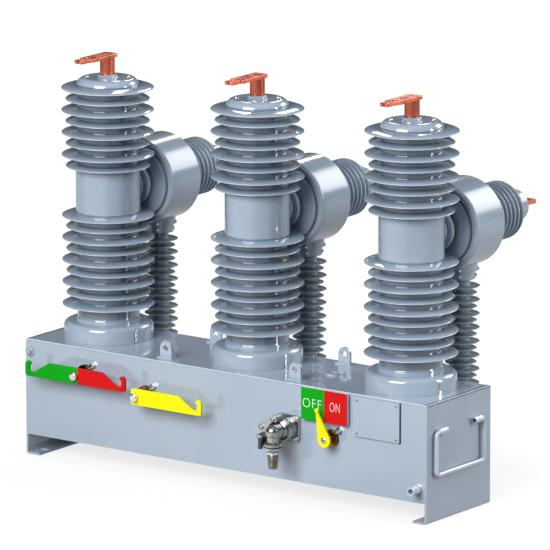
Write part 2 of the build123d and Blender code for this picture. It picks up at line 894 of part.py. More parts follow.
def make_clamp():
    """Band on the collar with a rounded saddle beside it, cut clear of the neck nut."""
    band_front = front - socket_depth - coupling_length - free_gap
    with BuildPart() as clamp:
        with BuildSketch(facing_front(socket_x, socket_z, band_front)):
            Circle(collar_radius + clamp_wall)
        extrude(amount=clamp_width)
        with BuildSketch(facing_front(socket_x, socket_z, band_front)):
            with Locations(*clamp_ears):
                Circle(clamp_ear_radius)
            make_hull()
        extrude(amount=clamp_reach)
        with BuildSketch(facing_front(socket_x, socket_z, band_front - clamp_reach)):
            with Locations((hanger_x, hanger_z - hanger_sheet / 2)):
                Rectangle(hanger_size, hanger_sheet)
        extrude(amount=hanger_size)
        with BuildSketch(facing_front(socket_x, socket_z, band_front)):
            Circle(collar_radius)
        extrude(amount=clamp_reach, mode=Mode.SUBTRACT)
        with BuildSketch(Plane.XY.offset(socket_z)):
            with Locations((socket_x, elbow_y)):
                Circle(nut_radius + free_gap)
        extrude(amount=-neck_foot, mode=Mode.SUBTRACT)
    save(clamp, "cable_clamp")


def make_clamp_screws():
    """Two screw heads on the saddle and the long screw that hangs from its shelf."""
    face = front - socket_depth - coupling_length - free_gap - clamp_reach
    top = socket_z + hanger_z - hanger_sheet
    with BuildPart() as screws:
        with BuildSketch(facing_front(socket_x, socket_z, face)):
            with Locations(*clamp_ears[:2]):
                Circle(clamp_screw_radius)
        extrude(amount=clamp_screw_head)
        with BuildSketch(Plane.XY.offset(top)):
            with Locations((socket_x + hanger_x, face - hanger_size / 2)):
                Circle(hanger_size / 2)
        extrude(amount=-2)
        with BuildSketch(Plane.XY.offset(top)):
            with Locations((socket_x + hanger_x, face - hanger_size / 2)):
                Circle(clamp_screw_radius)
        extrude(amount=-hanger_length + hanger_sheet)
    save(screws, "clamp_screws")


# Fittings at the ends
def make_handle(side, label):
    axis_x = side * (tank_length / 2 + sleeve_outer)
    with BuildPart() as bail:
        with BuildLine() as path:
            FilletPolyline(
                (axis_x, handle_y - sleeve_half_gap - sleeve_recess, handle_z),
                (axis_x, handle_y - handle_half, handle_z),
                (axis_x, handle_y - handle_half, handle_z - handle_drop),
                (axis_x, handle_y + handle_half, handle_z - handle_drop),
                (axis_x, handle_y + handle_half, handle_z),
                (axis_x, handle_y + sleeve_half_gap + sleeve_recess, handle_z),
                radius=7,
            )
        with BuildSketch(Plane(origin=path.line @ 0, z_dir=path.line % 0)):
            Circle(handle_rod)
        sweep()
    save(bail, label)


def make_sleeves():
    with BuildPart() as sleeves:
        for side in (-1, 1):
            axis_x = side * (tank_length / 2 + sleeve_outer)
            for s in (-1, 1):
                middle = handle_y + s * (sleeve_half_gap + sleeve_length / 2)
                with BuildSketch(facing_front(axis_x, handle_z, middle + sleeve_length / 2)):
                    Circle(sleeve_outer)
                    with Locations((-side * sleeve_outer / 2, 0)):
                        Rectangle(sleeve_outer, sleeve_outer)
                    Circle(handle_rod + running_fit, mode=Mode.SUBTRACT)
                extrude(amount=sleeve_length)
    save(sleeves, "handle_sleeves")


def make_earth_boss():
    with BuildPart() as boss:
        with BuildSketch(facing_front(earth_x, earth_z)):
            Circle(earth_radius)
        extrude(amount=earth_length)
        with BuildSketch(facing_front(earth_x, earth_z, front - earth_length)):
            Circle(earth_radius - 3)
        extrude(amount=-earth_length + 4, mode=Mode.SUBTRACT)
    save(boss, "earth_boss")


def make_earth_stud():
    with BuildPart() as stud:
        with BuildSketch(facing_front(stud_x, stud_z)):
            Circle(9.5)
        extrude(amount=2.5)
        with BuildSketch(facing_front(stud_x, stud_z, front - 2.5)):
            Circle(5.5)
        extrude(amount=5)
    save(stud, "earth_stud")


make_wrap()
make_end(-1, "left_end")
make_end(1, "right_end")
make_floor()
make_lifting_lugs(front_lug_y, "front_lugs")
make_lifting_lugs(rear_lug_y, "rear_lifting_lugs")
make_filler_plug()
for phase, pole_x in poles.items():
    make_bushing(pole_x, "bushing_" + phase)
    make_pad(pole_x, "terminal_pad_" + phase)
    make_neck(pole_x, "neck_" + phase)
    make_drum(pole_x, "transformer_" + phase)
    make_rear_bushing(pole_x, "rear_bushing_" + phase)
    make_post(pole_x, "post_" + phase)
make_rings()
make_terminals()
make_rear_lugs()
make_holders()
make_brackets()
make_bracket_screws()
make_bottles()
make_collectors()
make_drive_rods()
make_cross_shaft()
make_bearings()
make_lever_plate(trip_x, trip_z, trip_reach, -1, -lever_shaft_radius, "open_lever")
make_lever_plate(trip_x, trip_z, trip_reach, 1, lever_shaft_radius, "close_lever")
make_lever_plate(charge_x, charge_z, charge_reach, 1, -10, "charge_lever")
make_lever_shaft(trip_x, trip_z, lever_standoff, lever_sheet, bolt_head, bolt_height, "trip_shaft")
make_lever_shaft(charge_x, charge_z, lever_standoff, lever_sheet, bolt_head, bolt_height, "charge_shaft")
make_lever_shaft(
    pointer_x, pointer_z, pointer_standoff, pointer_sheet, pointer_head, pointer_head_height, "pointer_shaft"
)
make_shaft_bushings()
make_grease_pins()
make_pointer()
make_plate(sign_x, sign_z, sign_w, sign_h, sign_depth, "position_sign")
make_plate(tag_x, tag_z, tag_w, tag_h, plate_depth, "nameplate")
make_rivets()
make_socket()
make_socket_screws()
make_coupling()
make_elbow()
make_stub()
make_clamp()
make_clamp_screws()
make_handle(-1, "left_handle")
make_handle(1, "right_handle")
make_sleeves()
make_earth_boss()
make_earth_stud()
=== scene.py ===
import math

import bpy
from mathutils import Matrix, Vector


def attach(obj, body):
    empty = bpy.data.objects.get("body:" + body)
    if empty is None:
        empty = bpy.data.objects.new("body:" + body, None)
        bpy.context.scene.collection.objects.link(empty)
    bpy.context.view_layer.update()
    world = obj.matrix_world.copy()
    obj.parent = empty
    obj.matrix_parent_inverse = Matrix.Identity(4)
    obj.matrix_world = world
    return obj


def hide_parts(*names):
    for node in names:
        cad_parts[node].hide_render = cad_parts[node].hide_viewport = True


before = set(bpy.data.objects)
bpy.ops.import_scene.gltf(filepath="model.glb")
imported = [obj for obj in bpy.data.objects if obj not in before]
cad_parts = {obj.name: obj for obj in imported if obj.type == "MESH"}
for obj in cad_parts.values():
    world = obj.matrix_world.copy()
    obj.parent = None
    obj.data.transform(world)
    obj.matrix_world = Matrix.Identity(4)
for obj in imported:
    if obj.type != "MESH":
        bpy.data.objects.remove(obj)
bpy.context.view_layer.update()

mm = 0.001

# places that the pieces share, in mm: the tank's front panel faces -Y
panelY = -100
tankTop = 218
tankEnd = 450
phases = {"a": -340, "b": 0, "c": 340}
poleY = 8


# Shader helper: sockets that take part in sums
class Sock:
    def __init__(self, graph, out):
        self.graph = graph
        self.out = out

    def __add__(self, other):
        return self.graph.maths("ADD", self, other)

    __radd__ = __add__

    def __mul__(self, other):
        return self.graph.maths("MULTIPLY", self, other)

    __rmul__ = __mul__

    def __sub__(self, other):
        return self.graph.maths("SUBTRACT", self, other)

    def __rsub__(self, other):
        return self.graph.maths("SUBTRACT", other, self)

    def __pow__(self, other):
        return self.graph.maths("POWER", self, other)


class Graph:
    def __init__(self, tree):
        self.tree = tree
        tree.nodes.clear()

    def add(self, kind, inputs=None, out=0, **settings):
        node = self.tree.nodes.new(kind)
        for key, value in settings.items():
            setattr(node, key, value)
        for key, value in (inputs or {}).items():
            self.feed(node.inputs[key], value)
        return Sock(self, node.outputs[out]) if node.outputs else node

    def feed(self, socket, value):
        if isinstance(value, Sock):
            self.tree.links.new(value.out, socket)
        elif isinstance(value, (tuple, list)) and len(value) == 3 and socket.type == "RGBA":
            socket.default_value = (*value, 1)
        else:
            socket.default_value = value

    def maths(self, operation, first, second):
        return self.add("ShaderNodeMath", {0: first, 1: second}, operation=operation)

    def noise(self, scale, detail=3, rough=0.5, where=None):
        spot = where or self.add("ShaderNodeTexCoord", out="Object")
        return self.add(
            "ShaderNodeTexNoise", {"Vector": spot, "Scale": scale, "Detail": detail, "Roughness": rough}
        )

    def stretch(self, scale):
        spot = self.add("ShaderNodeTexCoord", out="Object")
        return self.add("ShaderNodeMapping", {"Vector": spot, "Scale": scale})

    def ramp(self, value, low, high, outLow, outHigh):
        return self.add(
            "ShaderNodeMapRange",
            {"Value": value, "From Min": low, "From Max": high, "To Min": outLow, "To Max": outHigh},
        )

    def blendColour(self, factor, first, second):
        node = self.tree.nodes.new("ShaderNodeMix")
        node.data_type = "RGBA"
        self.feed(node.inputs[0], factor)
        self.feed(node.inputs[6], first)
        self.feed(node.inputs[7], second)
        return Sock(self, node.outputs[2])


materials = {}


def finish(name, look):
    material = bpy.data.materials.new(name)
    material.use_nodes = True
    g = Graph(material.node_tree)
    cloud = g.noise(look.get("cloudScale", 9), 4)
    fine = g.noise(look.get("fineScale", 260), 2)
    tint = g.ramp(cloud, 0.35, 0.65, 0, 1)
    dark = tuple(c * (1 - look.get("shade", 0.06)) for c in look["colour"])
    colour = g.blendColour(tint, dark, look["colour"])
    if look.get("grime"):
        pits = g.ramp(g.noise(35, 6, 0.7), 0.56, 0.72, 0, look["grime"])
        colour = g.blendColour(pits, colour, look.get("grimeColour", (0.12, 0.12, 0.11)))
    if look.get("crevice"):
        # painted shade: the colour deepens towards the axis of the nearest pole, standing for the shade
        # between the sheds
        near, far, depth = look["crevice"]
        spot = g.add("ShaderNodeTexCoord", out="Object")
        half = phases["c"] * mm / 2
        across = g.add("ShaderNodeSeparateXYZ", {"Vector": spot}, out="X")
        across = g.add("ShaderNodeMath", {0: across, 1: half, 2: -half}, operation="WRAP")
        along = g.add("ShaderNodeSeparateXYZ", {"Vector": spot}, out="Y") - poleY * mm
        outwards = (across * across + along * along) ** 0.5
        deep = look.get("creviceColour", (0, 0.03, 0.06))
        colour = g.blendColour(g.ramp(outwards, near * mm, far * mm, depth, 1), deep, colour)
    spread = look.get("roughSpread", 0.05)
    rough = g.ramp(cloud, 0.3, 0.7, look["rough"] - spread / 2, look["rough"] + spread / 2)
    height = fine * 0.6 + cloud * 0.4
    if look.get("brushed"):
        height = g.noise(1, 2, where=g.stretch(look["brushed"]))
        rough = rough + g.ramp(height, 0.3, 0.7, -0.06, 0.06)
    bump = g.add(
        "ShaderNodeBump",
        {"Strength": look.get("bump", 0.05), "Distance": look.get("bumpDepth", 0.0004), "Height": height},
    )
    shader = g.add(
        "ShaderNodeBsdfPrincipled",
        {
            "Base Color": colour,
            "Roughness": rough,
            "Metallic": look.get("metal", 0),
            "Coat Weight": look.get("coat", 0),
            "Coat Roughness": look.get("coatRough", 0.05),
            "IOR": 1.5,
            "Specular IOR Level": look.get("specular", 0.5),
            "Normal": bump,
        },
    )
    g.add("ShaderNodeOutputMaterial", {"Surface": shader})
    materials[name] = material
    return material


def plain(colour, rough, bump=0.05, **more):
    return {"colour": colour, "rough": rough, "bump": bump, **more}


def glossy(colour, rough, coat=1.0, coatRough=0.02, bump=0.02, **more):
    return plain(colour, rough, bump, coat=coat, coatRough=coatRough, **more)


resin = (0.314, 0.389, 0.484)
looks = {
    "tankPaint": glossy((0.372, 0.442, 0.538), 0.18),
    "bushing": glossy(resin, 0.14),
    # the shed looks carry painted shade between the sheds, deeper on the upper stack
    "upperShed": glossy(resin, 0.14, crevice=(57, 81, 0.35)),
    "lowerShed": glossy(resin, 0.14, crevice=(57, 81, 0.55)),
    # pale ring along the shed rims, a painted highlight
    "shedRimHighlight": glossy((0.47, 0.54, 0.63), 0.25, 0.8, 0.05),
    "ring": glossy((0.34, 0.41, 0.495), 0.16, 0.8),
    "drum": glossy((0.335, 0.405, 0.49), 0.24, 0.9, 0.13, 0.015),
    "post": glossy((0.212, 0.270, 0.320), 0.16, 0.8, 0.03, 0.03),
    # the tank paint made lighter, painted light for the brighter look of the handles; also used on the
    # sleeves and the earth boss
    "litTankPaint": glossy((0.53, 0.60, 0.69), 0.12),
    "copper": plain(
        (0.93, 0.23, 0.12),
        0.3,
        0.3,
        metal=0.75,
        shade=0.35,
        cloudScale=60,
        roughSpread=0.2,
        grime=0.5,
        grimeColour=(0.36, 0.07, 0.03),
    ),
    "copperRod": plain(
        (0.70, 0.158, 0.08),
        0.24,
        0.12,
        metal=0.75,
        shade=0.4,
        cloudScale=30,
        roughSpread=0.08,
        brushed=(160, 160, 4),
        grime=0.5,
        grimeColour=(0.25, 0.05, 0.02),
    ),
    "green": plain((0.001, 0.36, 0.006), 0.5, 0.06, coat=0.04, specular=0.12),
    "red": plain((0.66, 0.007, 0.008), 0.5, 0.06, coat=0.04, specular=0.12),
    "yellow": plain((0.99, 0.87, 0.002), 0.5, 0.06, coat=0.06, specular=0.15),
    "paleYellow": plain((0.95, 0.98, 0.45), 0.4),
    # pale sign rim, and pale beads along the tank's folded edges that are painted highlights
    "paleRimAndPaintedHighlight": plain((0.70, 0.76, 0.85), 0.3, 0.03, coat=0.4),
    # a dark sheet behind the sign, a painted shadow round its edge
    "shadowPad": plain((0.10, 0.12, 0.17), 0.4),
    "steel": plain((0.72, 0.73, 0.75), 0.12, 0.12, metal=1, shade=0.2),
    "gold": plain((0.30, 0.13, 0.035), 0.2, 0.2, metal=1, shade=0.5, cloudScale=90),
    "plate": plain((0.40, 0.47, 0.56), 0.3, 0.03, coat=0.3),
    "nickel": plain((0.46, 0.47, 0.46), 0.17, 0.06, metal=0.95, shade=0.2, cloudScale=45, roughSpread=0.06),
    "stubMetal": plain((0.30, 0.28, 0.26), 0.3, 0.2, metal=1, shade=0.4, cloudScale=80),
    "darkSteel": plain((0.10, 0.11, 0.13), 0.25, 0.1, metal=1),
    "ceramic": plain((0.8, 0.79, 0.74), 0.2, coat=0.5),
    "rodResin": plain((0.36, 0.15, 0.07), 0.45),
    "lettering": plain((1.0, 1.0, 0.99), 0.4, shade=0.02),
    "hole": plain((0.012, 0.013, 0.016), 0.6),
}
for name, look in looks.items():
    finish(name, look)
print("materials", len(materials))


# Mesh helpers
def link(name, mesh, material, smooth=35):
    piece = bpy.data.objects.new(name, mesh)
    bpy.context.scene.collection.objects.link(piece)
    mesh.materials.clear()
    mesh.materials.append(materials[material])
    mesh.polygons.foreach_set("use_smooth", [True] * len(mesh.polygons))
    mesh.set_sharp_from_angle(angle=math.radians(smooth))
    return piece


def settle(piece, body="tank", replaces=()):
    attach(piece, body)
    if replaces:
        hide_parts(*replaces)
    return piece


def bake(piece):
    # modifiers turn into plain geometry before the piece is placed on a body
    bpy.context.view_layer.update()
    shaped = bpy.data.meshes.new_from_object(piece.evaluated_get(bpy.context.evaluated_depsgraph_get()))
    old = piece.data
    piece.modifiers.clear()
    piece.data = shaped
    bpy.data.meshes.remove(old)
    return piece


def merge(name, pieces):
    verts, faces, smooth, slots, mats = [], [], [], [], []
    for piece in pieces:
        base = len(verts)
        mesh = piece.data
        index = {}
        for number, material in enumerate(mesh.materials):
            if material not in mats:
                mats.append(material)
            index[number] = mats.index(material)
        verts += [piece.matrix_world @ v.co for v in mesh.vertices]
        for face in mesh.polygons:
            faces.append([base + v for v in face.vertices])
            smooth.append(face.use_smooth)
            slots.append(index.get(face.material_index, 0))
        bpy.data.objects.remove(piece)
    mesh = bpy.data.meshes.new(name)
    mesh.from_pydata(verts, [], faces)
    for material in mats:
        mesh.materials.append(material)
    mesh.polygons.foreach_set("use_smooth", smooth)
    mesh.polygons.foreach_set("material_index", slots)
    mesh.update()
    mesh.set_sharp_from_angle(angle=math.radians(35))
    whole = bpy.data.objects.new(name, mesh)
    bpy.context.scene.collection.objects.link(whole)
    return whole


def arc(cx, cy, r, start, stop, steps):
    return [
        (
            cx + r * math.cos(math.radians(start + (stop - start) * n / steps)),
            cy + r * math.sin(math.radians(start + (stop - start) * n / steps)),
        )
        for n in range(steps + 1)
    ]


def supported(profile, longest=4, margin=0.4):
    # long straight runs get a point near each end, so that they shade flat between rounded corners
    loop = []
    for (r, h), (nextR, nextH) in zip(profile, profile[1:] + profile[:1]):
        loop.append((r, h))
        length = math.hypot(nextR - r, nextH - h)
        if length > longest:
            t = margin / length
            loop += [(r + (nextR - r) * k, h + (nextH - h) * k) for k in (t, 1 - t)]
    return loop


def lathe(name, profile, material, spot, axis="Z", segments=96, smooth=35):
    # profile is a closed loop of (radius, height) in mm, turned about the axis through spot (mm)
    profile = supported(profile)
    verts, faces, rings = [], [], []
    for radius, height in profile:
        if radius < 1e-6:
            rings.append([len(verts)])
            verts.append((0, 0, height))
        else:
            rings.append(list(range(len(verts), len(verts) + segments)))
            for n in range(segments):
                turn = 2 * math.pi * n / segments
                verts.append((radius * math.cos(turn), radius * math.sin(turn), height))
    for first, second in zip(rings, rings[1:] + rings[:1]):
        if len(first) == 1 and len(second) == 1:
            continue
        for n in range(segments):
            m = (n + 1) % segments
            corner = [ring[k % len(ring)] for ring, k in ((first, n), (first, m), (second, m), (second, n))]
            faces.append(list(dict.fromkeys(corner)))
    area = sum(a[0] * b[1] - b[0] * a[1] for a, b in zip(profile, profile[1:] + profile[:1]))
    if area < 0:
        faces = [face[::-1] for face in faces]
    turn = {
        "Z": Matrix.Identity(3),
        "Y": Matrix(((1, 0, 0), (0, 0, 1), (0, -1, 0))),
        "-Y": Matrix(((1, 0, 0), (0, 0, -1), (0, 1, 0))),
        "X": Matrix(((0, 0, 1), (0, 1, 0), (-1, 0, 0))),
        "-X": Matrix(((0, 0, -1), (0, 1, 0), (1, 0, 0))),
    }[axis]
    origin = Vector(spot)
    mesh = bpy.data.meshes.new(name)
    mesh.from_pydata([(turn @ Vector(v) + origin) * mm for v in verts], [], faces)
    mesh.update()
    return link(name, mesh, material, smooth)


def addLine(curve, points, closed):
    spline = curve.splines.new("POLY")
    spline.points.add(len(points) - 1)
    for point, (px, py, pz) in zip(spline.points, points):
        point.co = (px * mm, py * mm, pz * mm, 1)
    spline.use_cyclic_u = closed


def meshOf(name, data):
    # turns a curve or a text into a plain mesh
    holder = bpy.data.objects.new(name, data)
    bpy.context.scene.collection.objects.link(holder)
    bpy.context.view_layer.update()
    mesh = bpy.data.meshes.new_from_object(holder.evaluated_get(bpy.context.evaluated_depsgraph_get()))
    bpy.data.objects.remove(holder)
    return mesh


def hoop(inner, outer, low, high):
    # profile of a plain ring, or of a plain round bar where inner is 0
    return [(inner, low), (outer, low), (outer, high), (inner, high)]


def sheetOf(name, outlines, thickness, material, place, edge=0.4, smooth=35):
    # outlines: outer loop then holes, in mm; the sheet spans 0..thickness along the local z of place
    curve = bpy.data.curves.new(name, "CURVE")
    curve.dimensions = "2D"
    curve.fill_mode = "BOTH"
    curve.extrude = (thickness / 2 - edge) * mm
    curve.bevel_depth = edge * mm
    curve.bevel_resolution = 2
    curve.offset = -edge * mm
    for loop in outlines:
        addLine(curve, [(px, py, 0) for px, py in loop], True)
    mesh = meshOf(name, curve)
    mesh.transform(place @ Matrix.Translation((0, 0, thickness / 2 * mm)))
    return link(name, mesh, material, smooth)


def facing(axis, x, y, z):
    # local z of the returned matrix points along axis; local x and y span the sheet
    turn = {
        "-Y": Matrix(((1, 0, 0), (0, 0, -1), (0, 1, 0))),
        "Y": Matrix(((1, 0, 0), (0, 0, 1), (0, -1, 0))),
        "Z": Matrix.Identity(3),
        "X": Matrix(((0, 0, 1), (1, 0, 0), (0, 1, 0))),
        "-X": Matrix(((0, 0, -1), (-1, 0, 0), (0, 1, 0))),
    }[axis].to_4x4()
    return Matrix.Translation((x * mm, y * mm, z * mm)) @ turn


def ringLoop(cx, cy, r, steps=32):
    return arc(cx, cy, r, 0, 360, steps)[:-1]


def roundLoop(points, radii, steps=5):
    # rounds the corners of a closed loop of points
    if not isinstance(radii, (list, tuple)):
        radii = [radii] * len(points)
    loop = []
    for n, (here, radius) in enumerate(zip(points, radii)):
        p = Vector(here)
        before = (Vector(points[n - 1]) - p).normalized()
        after = (Vector(points[(n + 1) % len(points)]) - p).normalized()
        half = before.angle(after) / 2
        if radius <= 0 or half > math.radians(88):
            loop.append(tuple(p))
            continue
        reach = radius / math.tan(half)
        centre = p + (before + after).normalized() * radius / math.sin(half)
        start = p + before * reach - centre
        sweep = start.angle_signed(p + after * reach - centre)
        for step in range(steps + 1):
            turn = -sweep * step / steps
            c, s = math.cos(turn), math.sin(turn)
            loop.append((centre.x + start.x * c - start.y * s, centre.y + start.x * s + start.y * c))
    return loop


def rectangle(w, h, r=0, cx=0, cy=0):
    corners = [(cx + w / 2 * sx, cy + h / 2 * sy) for sx, sy in ((-1, -1), (1, -1), (1, 1), (-1, 1))]
    return roundLoop(corners, r) if r else corners


def tube(name, path, radius, material, sides=16):
    # path of points in mm, already rounded
    curve = bpy.data.curves.new(name, "CURVE")
    curve.dimensions = "3D"
    curve.bevel_depth = radius * mm
    curve.bevel_resolution = sides // 4
    curve.use_fill_caps = True
    addLine(curve, path, False)
    return link(name, meshOf(name, curve), material, 50)


# Geometry nodes: rows and rings of one shape
def arrayGroup(name, around):
    tree = bpy.data.node_groups.new(name, "GeometryNodeTree")
    sockets = {"Geometry": "Geometry", "Count": "Int", "Step": "Vector", "Material": "Material"}
    for label, kind in sockets.items():
        tree.interface.new_socket(label, in_out="INPUT", socket_type="NodeSocket" + kind)
    tree.interface.new_socket("Geometry", in_out="OUTPUT", socket_type="NodeSocketGeometry")

    def add(kind, **settings):
        node = tree.nodes.new(kind)
        for key, value in settings.items():
            setattr(node, key, value)
        return node

    source, sink = add("NodeGroupInput"), add("NodeGroupOutput")
    line = add("GeometryNodeMeshLine", mode="OFFSET")
    tree.links.new(source.outputs["Count"], line.inputs["Count"])
    place = add("GeometryNodeInstanceOnPoints")
    tree.links.new(line.outputs[0], place.inputs["Points"])
    tree.links.new(source.outputs["Geometry"], place.inputs["Instance"])
    if around:
        # the step vector is a rotation for each copy, about the object's own origin
        line.inputs["Offset"].default_value = (0, 0, 0)
        index = add("GeometryNodeInputIndex")
        turn = add("ShaderNodeVectorMath", operation="SCALE")
        tree.links.new(source.outputs["Step"], turn.inputs[0])
        tree.links.new(index.outputs[0], turn.inputs["Scale"])
        tree.links.new(turn.outputs[0], place.inputs["Rotation"])
    else:
        tree.links.new(source.outputs["Step"], line.inputs["Offset"])
    solid = add("GeometryNodeRealizeInstances")
    tree.links.new(place.outputs[0], solid.inputs[0])
    paint = add("GeometryNodeSetMaterial")
    tree.links.new(solid.outputs[0], paint.inputs["Geometry"])
    tree.links.new(source.outputs["Material"], paint.inputs["Material"])
    tree.links.new(paint.outputs[0], sink.inputs[0])
    return tree


rowGroup = arrayGroup("Row of copies", False)
ringGroup = arrayGroup("Ring of copies", True)


def repeat(piece, group, count, step, material):
    modifier = piece.modifiers.new("Repeat", "NODES")
    modifier.node_group = group
    values = {"Count": count, "Step": step, "Material": materials[material]}
    for item in group.interface.items_tree:
        if item.in_out == "INPUT" and item.name in values:
            modifier[item.identifier] = values[item.name]
    shaped = bake(piece)
    shaped.data.polygons.foreach_set("use_smooth", [True] * len(shaped.data.polygons))
    shaped.data.set_sharp_from_angle(angle=math.radians(35))
    return shaped


def moved(piece, x, y, z, turn=None):
    # moves the mesh itself, so that the object stays at the origin
    piece.data.transform(Matrix.Translation((x * mm, y * mm, z * mm)) @ (turn or Matrix.Identity(4)))
    return piece


def shedRing(name, core, tip, rise, drop, rim, material, segments=96):
    # one thin drooping shed, its top rounded down to the rim; height 0 is the middle of the rim
    inner, span, root = core - 2, tip - core, rise * 0.24
    outline = [(inner, rise + root)]
    outline += arc(core + root, rise + root, root, 180, 268, 6)
    for step in range(2, 11):
        t = step / 11
        outline.append((core + span * t, rim + (rise - rim) * (1 - t**1.9)))
    outline += [(tip - rim * 1.4 + px * 1.4, py) for px, py in arc(0, 0, rim, 65, -90, 6)]
    outline += [(core + span * 0.5, -drop * 0.5 - rim * 0.6), (core + 1.4, -drop - 0.2), (core, -drop - 1.2)]
    outline += [(inner, -drop - 1.6)]
    return lathe(name, outline, material, (0, 0, 0), "Z", segments, 60)


def shedStack(name, core, tips, top, step, count, shape, material, x, y, segments=96):
    # large and small sheds by turns, the first of each kind repeated downwards; shape is rise, droop and rim
    stacks = []
    rim = shape[2]
    for lead, tip in enumerate(tips):
        ring = shedRing(name, core, tip, *shape, material, segments)
        # a pale line lies a hair outside the rim, a painted highlight along it
        edge = [(tip - rim * 1.4 + px * 1.4 + 0.06, py) for px, py in arc(0, 0, rim, 48, -62, 5)]
        edge = [(tip - 1, edge[0][1])] + edge + [(tip - 1, edge[-1][1])]
        line = lathe("shedRimHighlight", edge, "shedRimHighlight", (0, 0, 0), "Z", segments)
        for piece, look in ((ring, material), (line, "shedRimHighlight")):
            row = repeat(piece, rowGroup, (count + 1 - lead) // 2, (0, 0, -2 * step * mm), look)
            stacks.append(moved(row, x, y, top - lead * step))
    return stacks


# Poles: body and two stacks of sheds, each stack a repeated ring
pole = {
    "shedStep": 20.75,
    "upperCount": 8,
    "lowerCount": 9,
    "topShed": 685,
    "lowerFirst": 447,
    "tip": 85,
    "smallTip": 77.5,
    "core": 57,
    "barrel": 59.5,
    "domeTop": 704,
    "foot": 246,
    "shed": (6.5, 2, 1.1),
    "capScrewReach": 38,
    "capScrewTurns": (36, 216),
}


def capScrew(x, y, z):
    profile = [(0, -2), (4.2, -2), (4.2, 0.6), (3.6, 1.4), (2.1, 1.7), (2.0, 0.4), (0, 0.4)]
    return lathe("capScrew", profile, "steel", (x, y, z), "Z", 24)


def buildPole(phase, x):
    c, b, foot = pole["core"], pole["barrel"], pole["foot"]
    upperEnd = pole["topShed"] - (pole["upperCount"] - 1) * pole["shedStep"]
    barrelTop, barrelFoot = upperEnd - 5, pole["lowerFirst"] + 8.5
    dome = pole["domeTop"]
    profile = [(0, dome + 5), (14.2, dome + 5), (14.6, dome + 6), (16.5, dome + 6), (18, dome + 4.5)]
    profile += [(18.3, dome + 1.5), (20.5, dome)]
    profile += arc(c - 14, dome - 14, 14, 90, 6, 12)
    profile += [(c - 0.5, barrelTop + 3)] + arc(b - 2.5, barrelTop - 1, 2.5, 90, 0, 6)
    profile += [(b, barrelFoot + 0.5), (b - 1, barrelFoot - 1), (c, barrelFoot - 3), (c, foot + 13)]
    profile += [(c + 0.8, foot + 11), (c + 3, foot + 10), (c + 3.4, foot + 9), (c + 3.4, foot + 4)]
    profile.append((0, foot + 4))
    body = lathe("poleBody", profile, "bushing", (x, poleY, 0), "Z", 128)
    stacks = []
    upper = (pole["topShed"], pole["upperCount"], barrelTop + 4, "upperShed")
    lower = (pole["lowerFirst"], pole["lowerCount"], foot + 13, "lowerShed")
    for start, count, end, look in (upper, lower):
        tips = (pole["tip"], pole["smallTip"])
        stacks += shedStack("shed", c, tips, start, pole["shedStep"], count, pole["shed"], look, x, poleY)
        stacks.append(lathe("core", hoop(c - 1, c + 0.15, end, start), look, (x, poleY, 0), "Z", 128))
    screws = []
    for turn in pole["capScrewTurns"]:
        way = math.radians(turn)
        reach = pole["capScrewReach"]
        screws.append(capScrew(x + reach * math.cos(way), poleY + reach * math.sin(way), dome))
    whole = merge("pole_" + phase, [body] + stacks + screws)
    return settle(whole, "tank", ["bushing_" + phase])


for phase, x in phases.items():
    buildPole(phase, x)
print("poles")

footRing = {"radius": 83, "height": 32, "round": 11, "seat": 57, "seam": (0.9, 19), "seamTurn": -18}


def buildFootRings():
    rings = []
    r, corner, seat, base = footRing["radius"], footRing["round"], footRing["seat"], tankTop
    top = base + footRing["height"]
    way = math.radians(footRing["seamTurn"])
    for x in phases.values():
        profile = [(seat - 12, base + 0.2), (r - 0.4, base), (r, base + 0.5)]
        profile += arc(r - corner, top - corner, corner, 0, 90, 10)
        profile += [(seat + 1.2, top), (seat + 0.2, top - 1), (seat - 12, top - 1.2)]
        rings.append(lathe("footRing", profile, "ring", (x, poleY, 0), "Z", 128))
        seam = sheetOf("seam", [rectangle(*footRing["seam"])], 0.4, "hole", facing("Z", 0, 0, 0), 0.1)
        turn = Matrix.Rotation(way, 4, "Z") @ facing("X", 0, 0, 0)
        spot = (x + (r - 0.1) * math.cos(way), poleY + (r - 0.1) * math.sin(way))
        rings.append(moved(seam, *spot, base + 10.5, turn))
    return settle(merge("footRings", rings), "tank", ["foot_rings"])


buildFootRings()

terminal = {"radius": 13.75, "low": 700, "high": 741, "chamfer": 0.8}


def buildTerminals():
    r, e, low, high = terminal["radius"], terminal["chamfer"], terminal["low"], terminal["high"]
    profile = [(0, low), (r, low), (r, high - e), (r - e, high), (0, high)]
    rods = [lathe("terminal", profile, "copperRod", (x, poleY, 0), "Z", 64) for x in phases.values()]
    return settle(merge("terminalRods", rods), "tank", ["terminals"])


buildTerminals()

bar = {
    "width": 30,
    "tip": 20,
    "back": 15,
    "shoulder": 64,
    "reach": 88,
    "thick": 6.5,
    "tipHole": (12, 4.5),
    "holes": ((-33, 5.5), (-55, 5.5)),
}


def buildBar(phase, x):
    w, t, s, e = bar["width"] / 2, bar["tip"] / 2, -bar["shoulder"], -bar["reach"]
    outline = [(-w, bar["back"]), (-w, s), (-t, s), (-t, e), (t, e), (t, s), (w, s), (w, bar["back"])]
    outline = roundLoop(outline, [6, 2.5, 1, 4, 4, 1, 2.5, 6])
    holes = [(e + bar["tipHole"][0], bar["tipHole"][1]), *bar["holes"]]
    holes = [ringLoop(0, away, radius) for away, radius in holes]
    base = terminal["high"]
    flat = sheetOf("bar", [outline] + holes, bar["thick"], "copper", facing("Z", x, poleY, base), 0.9)
    spot = (x, poleY + e + 0.25, base + bar["thick"] / 2)
    bore = lathe("bore", hoop(0, 2.3, 0, 0.3), "hole", spot, "-Y", 20)
    return settle(merge("bar_" + phase, [flat, bore]), "tank", ["terminal_pad_" + phase])


for phase, x in phases.items():
    buildBar(phase, x)

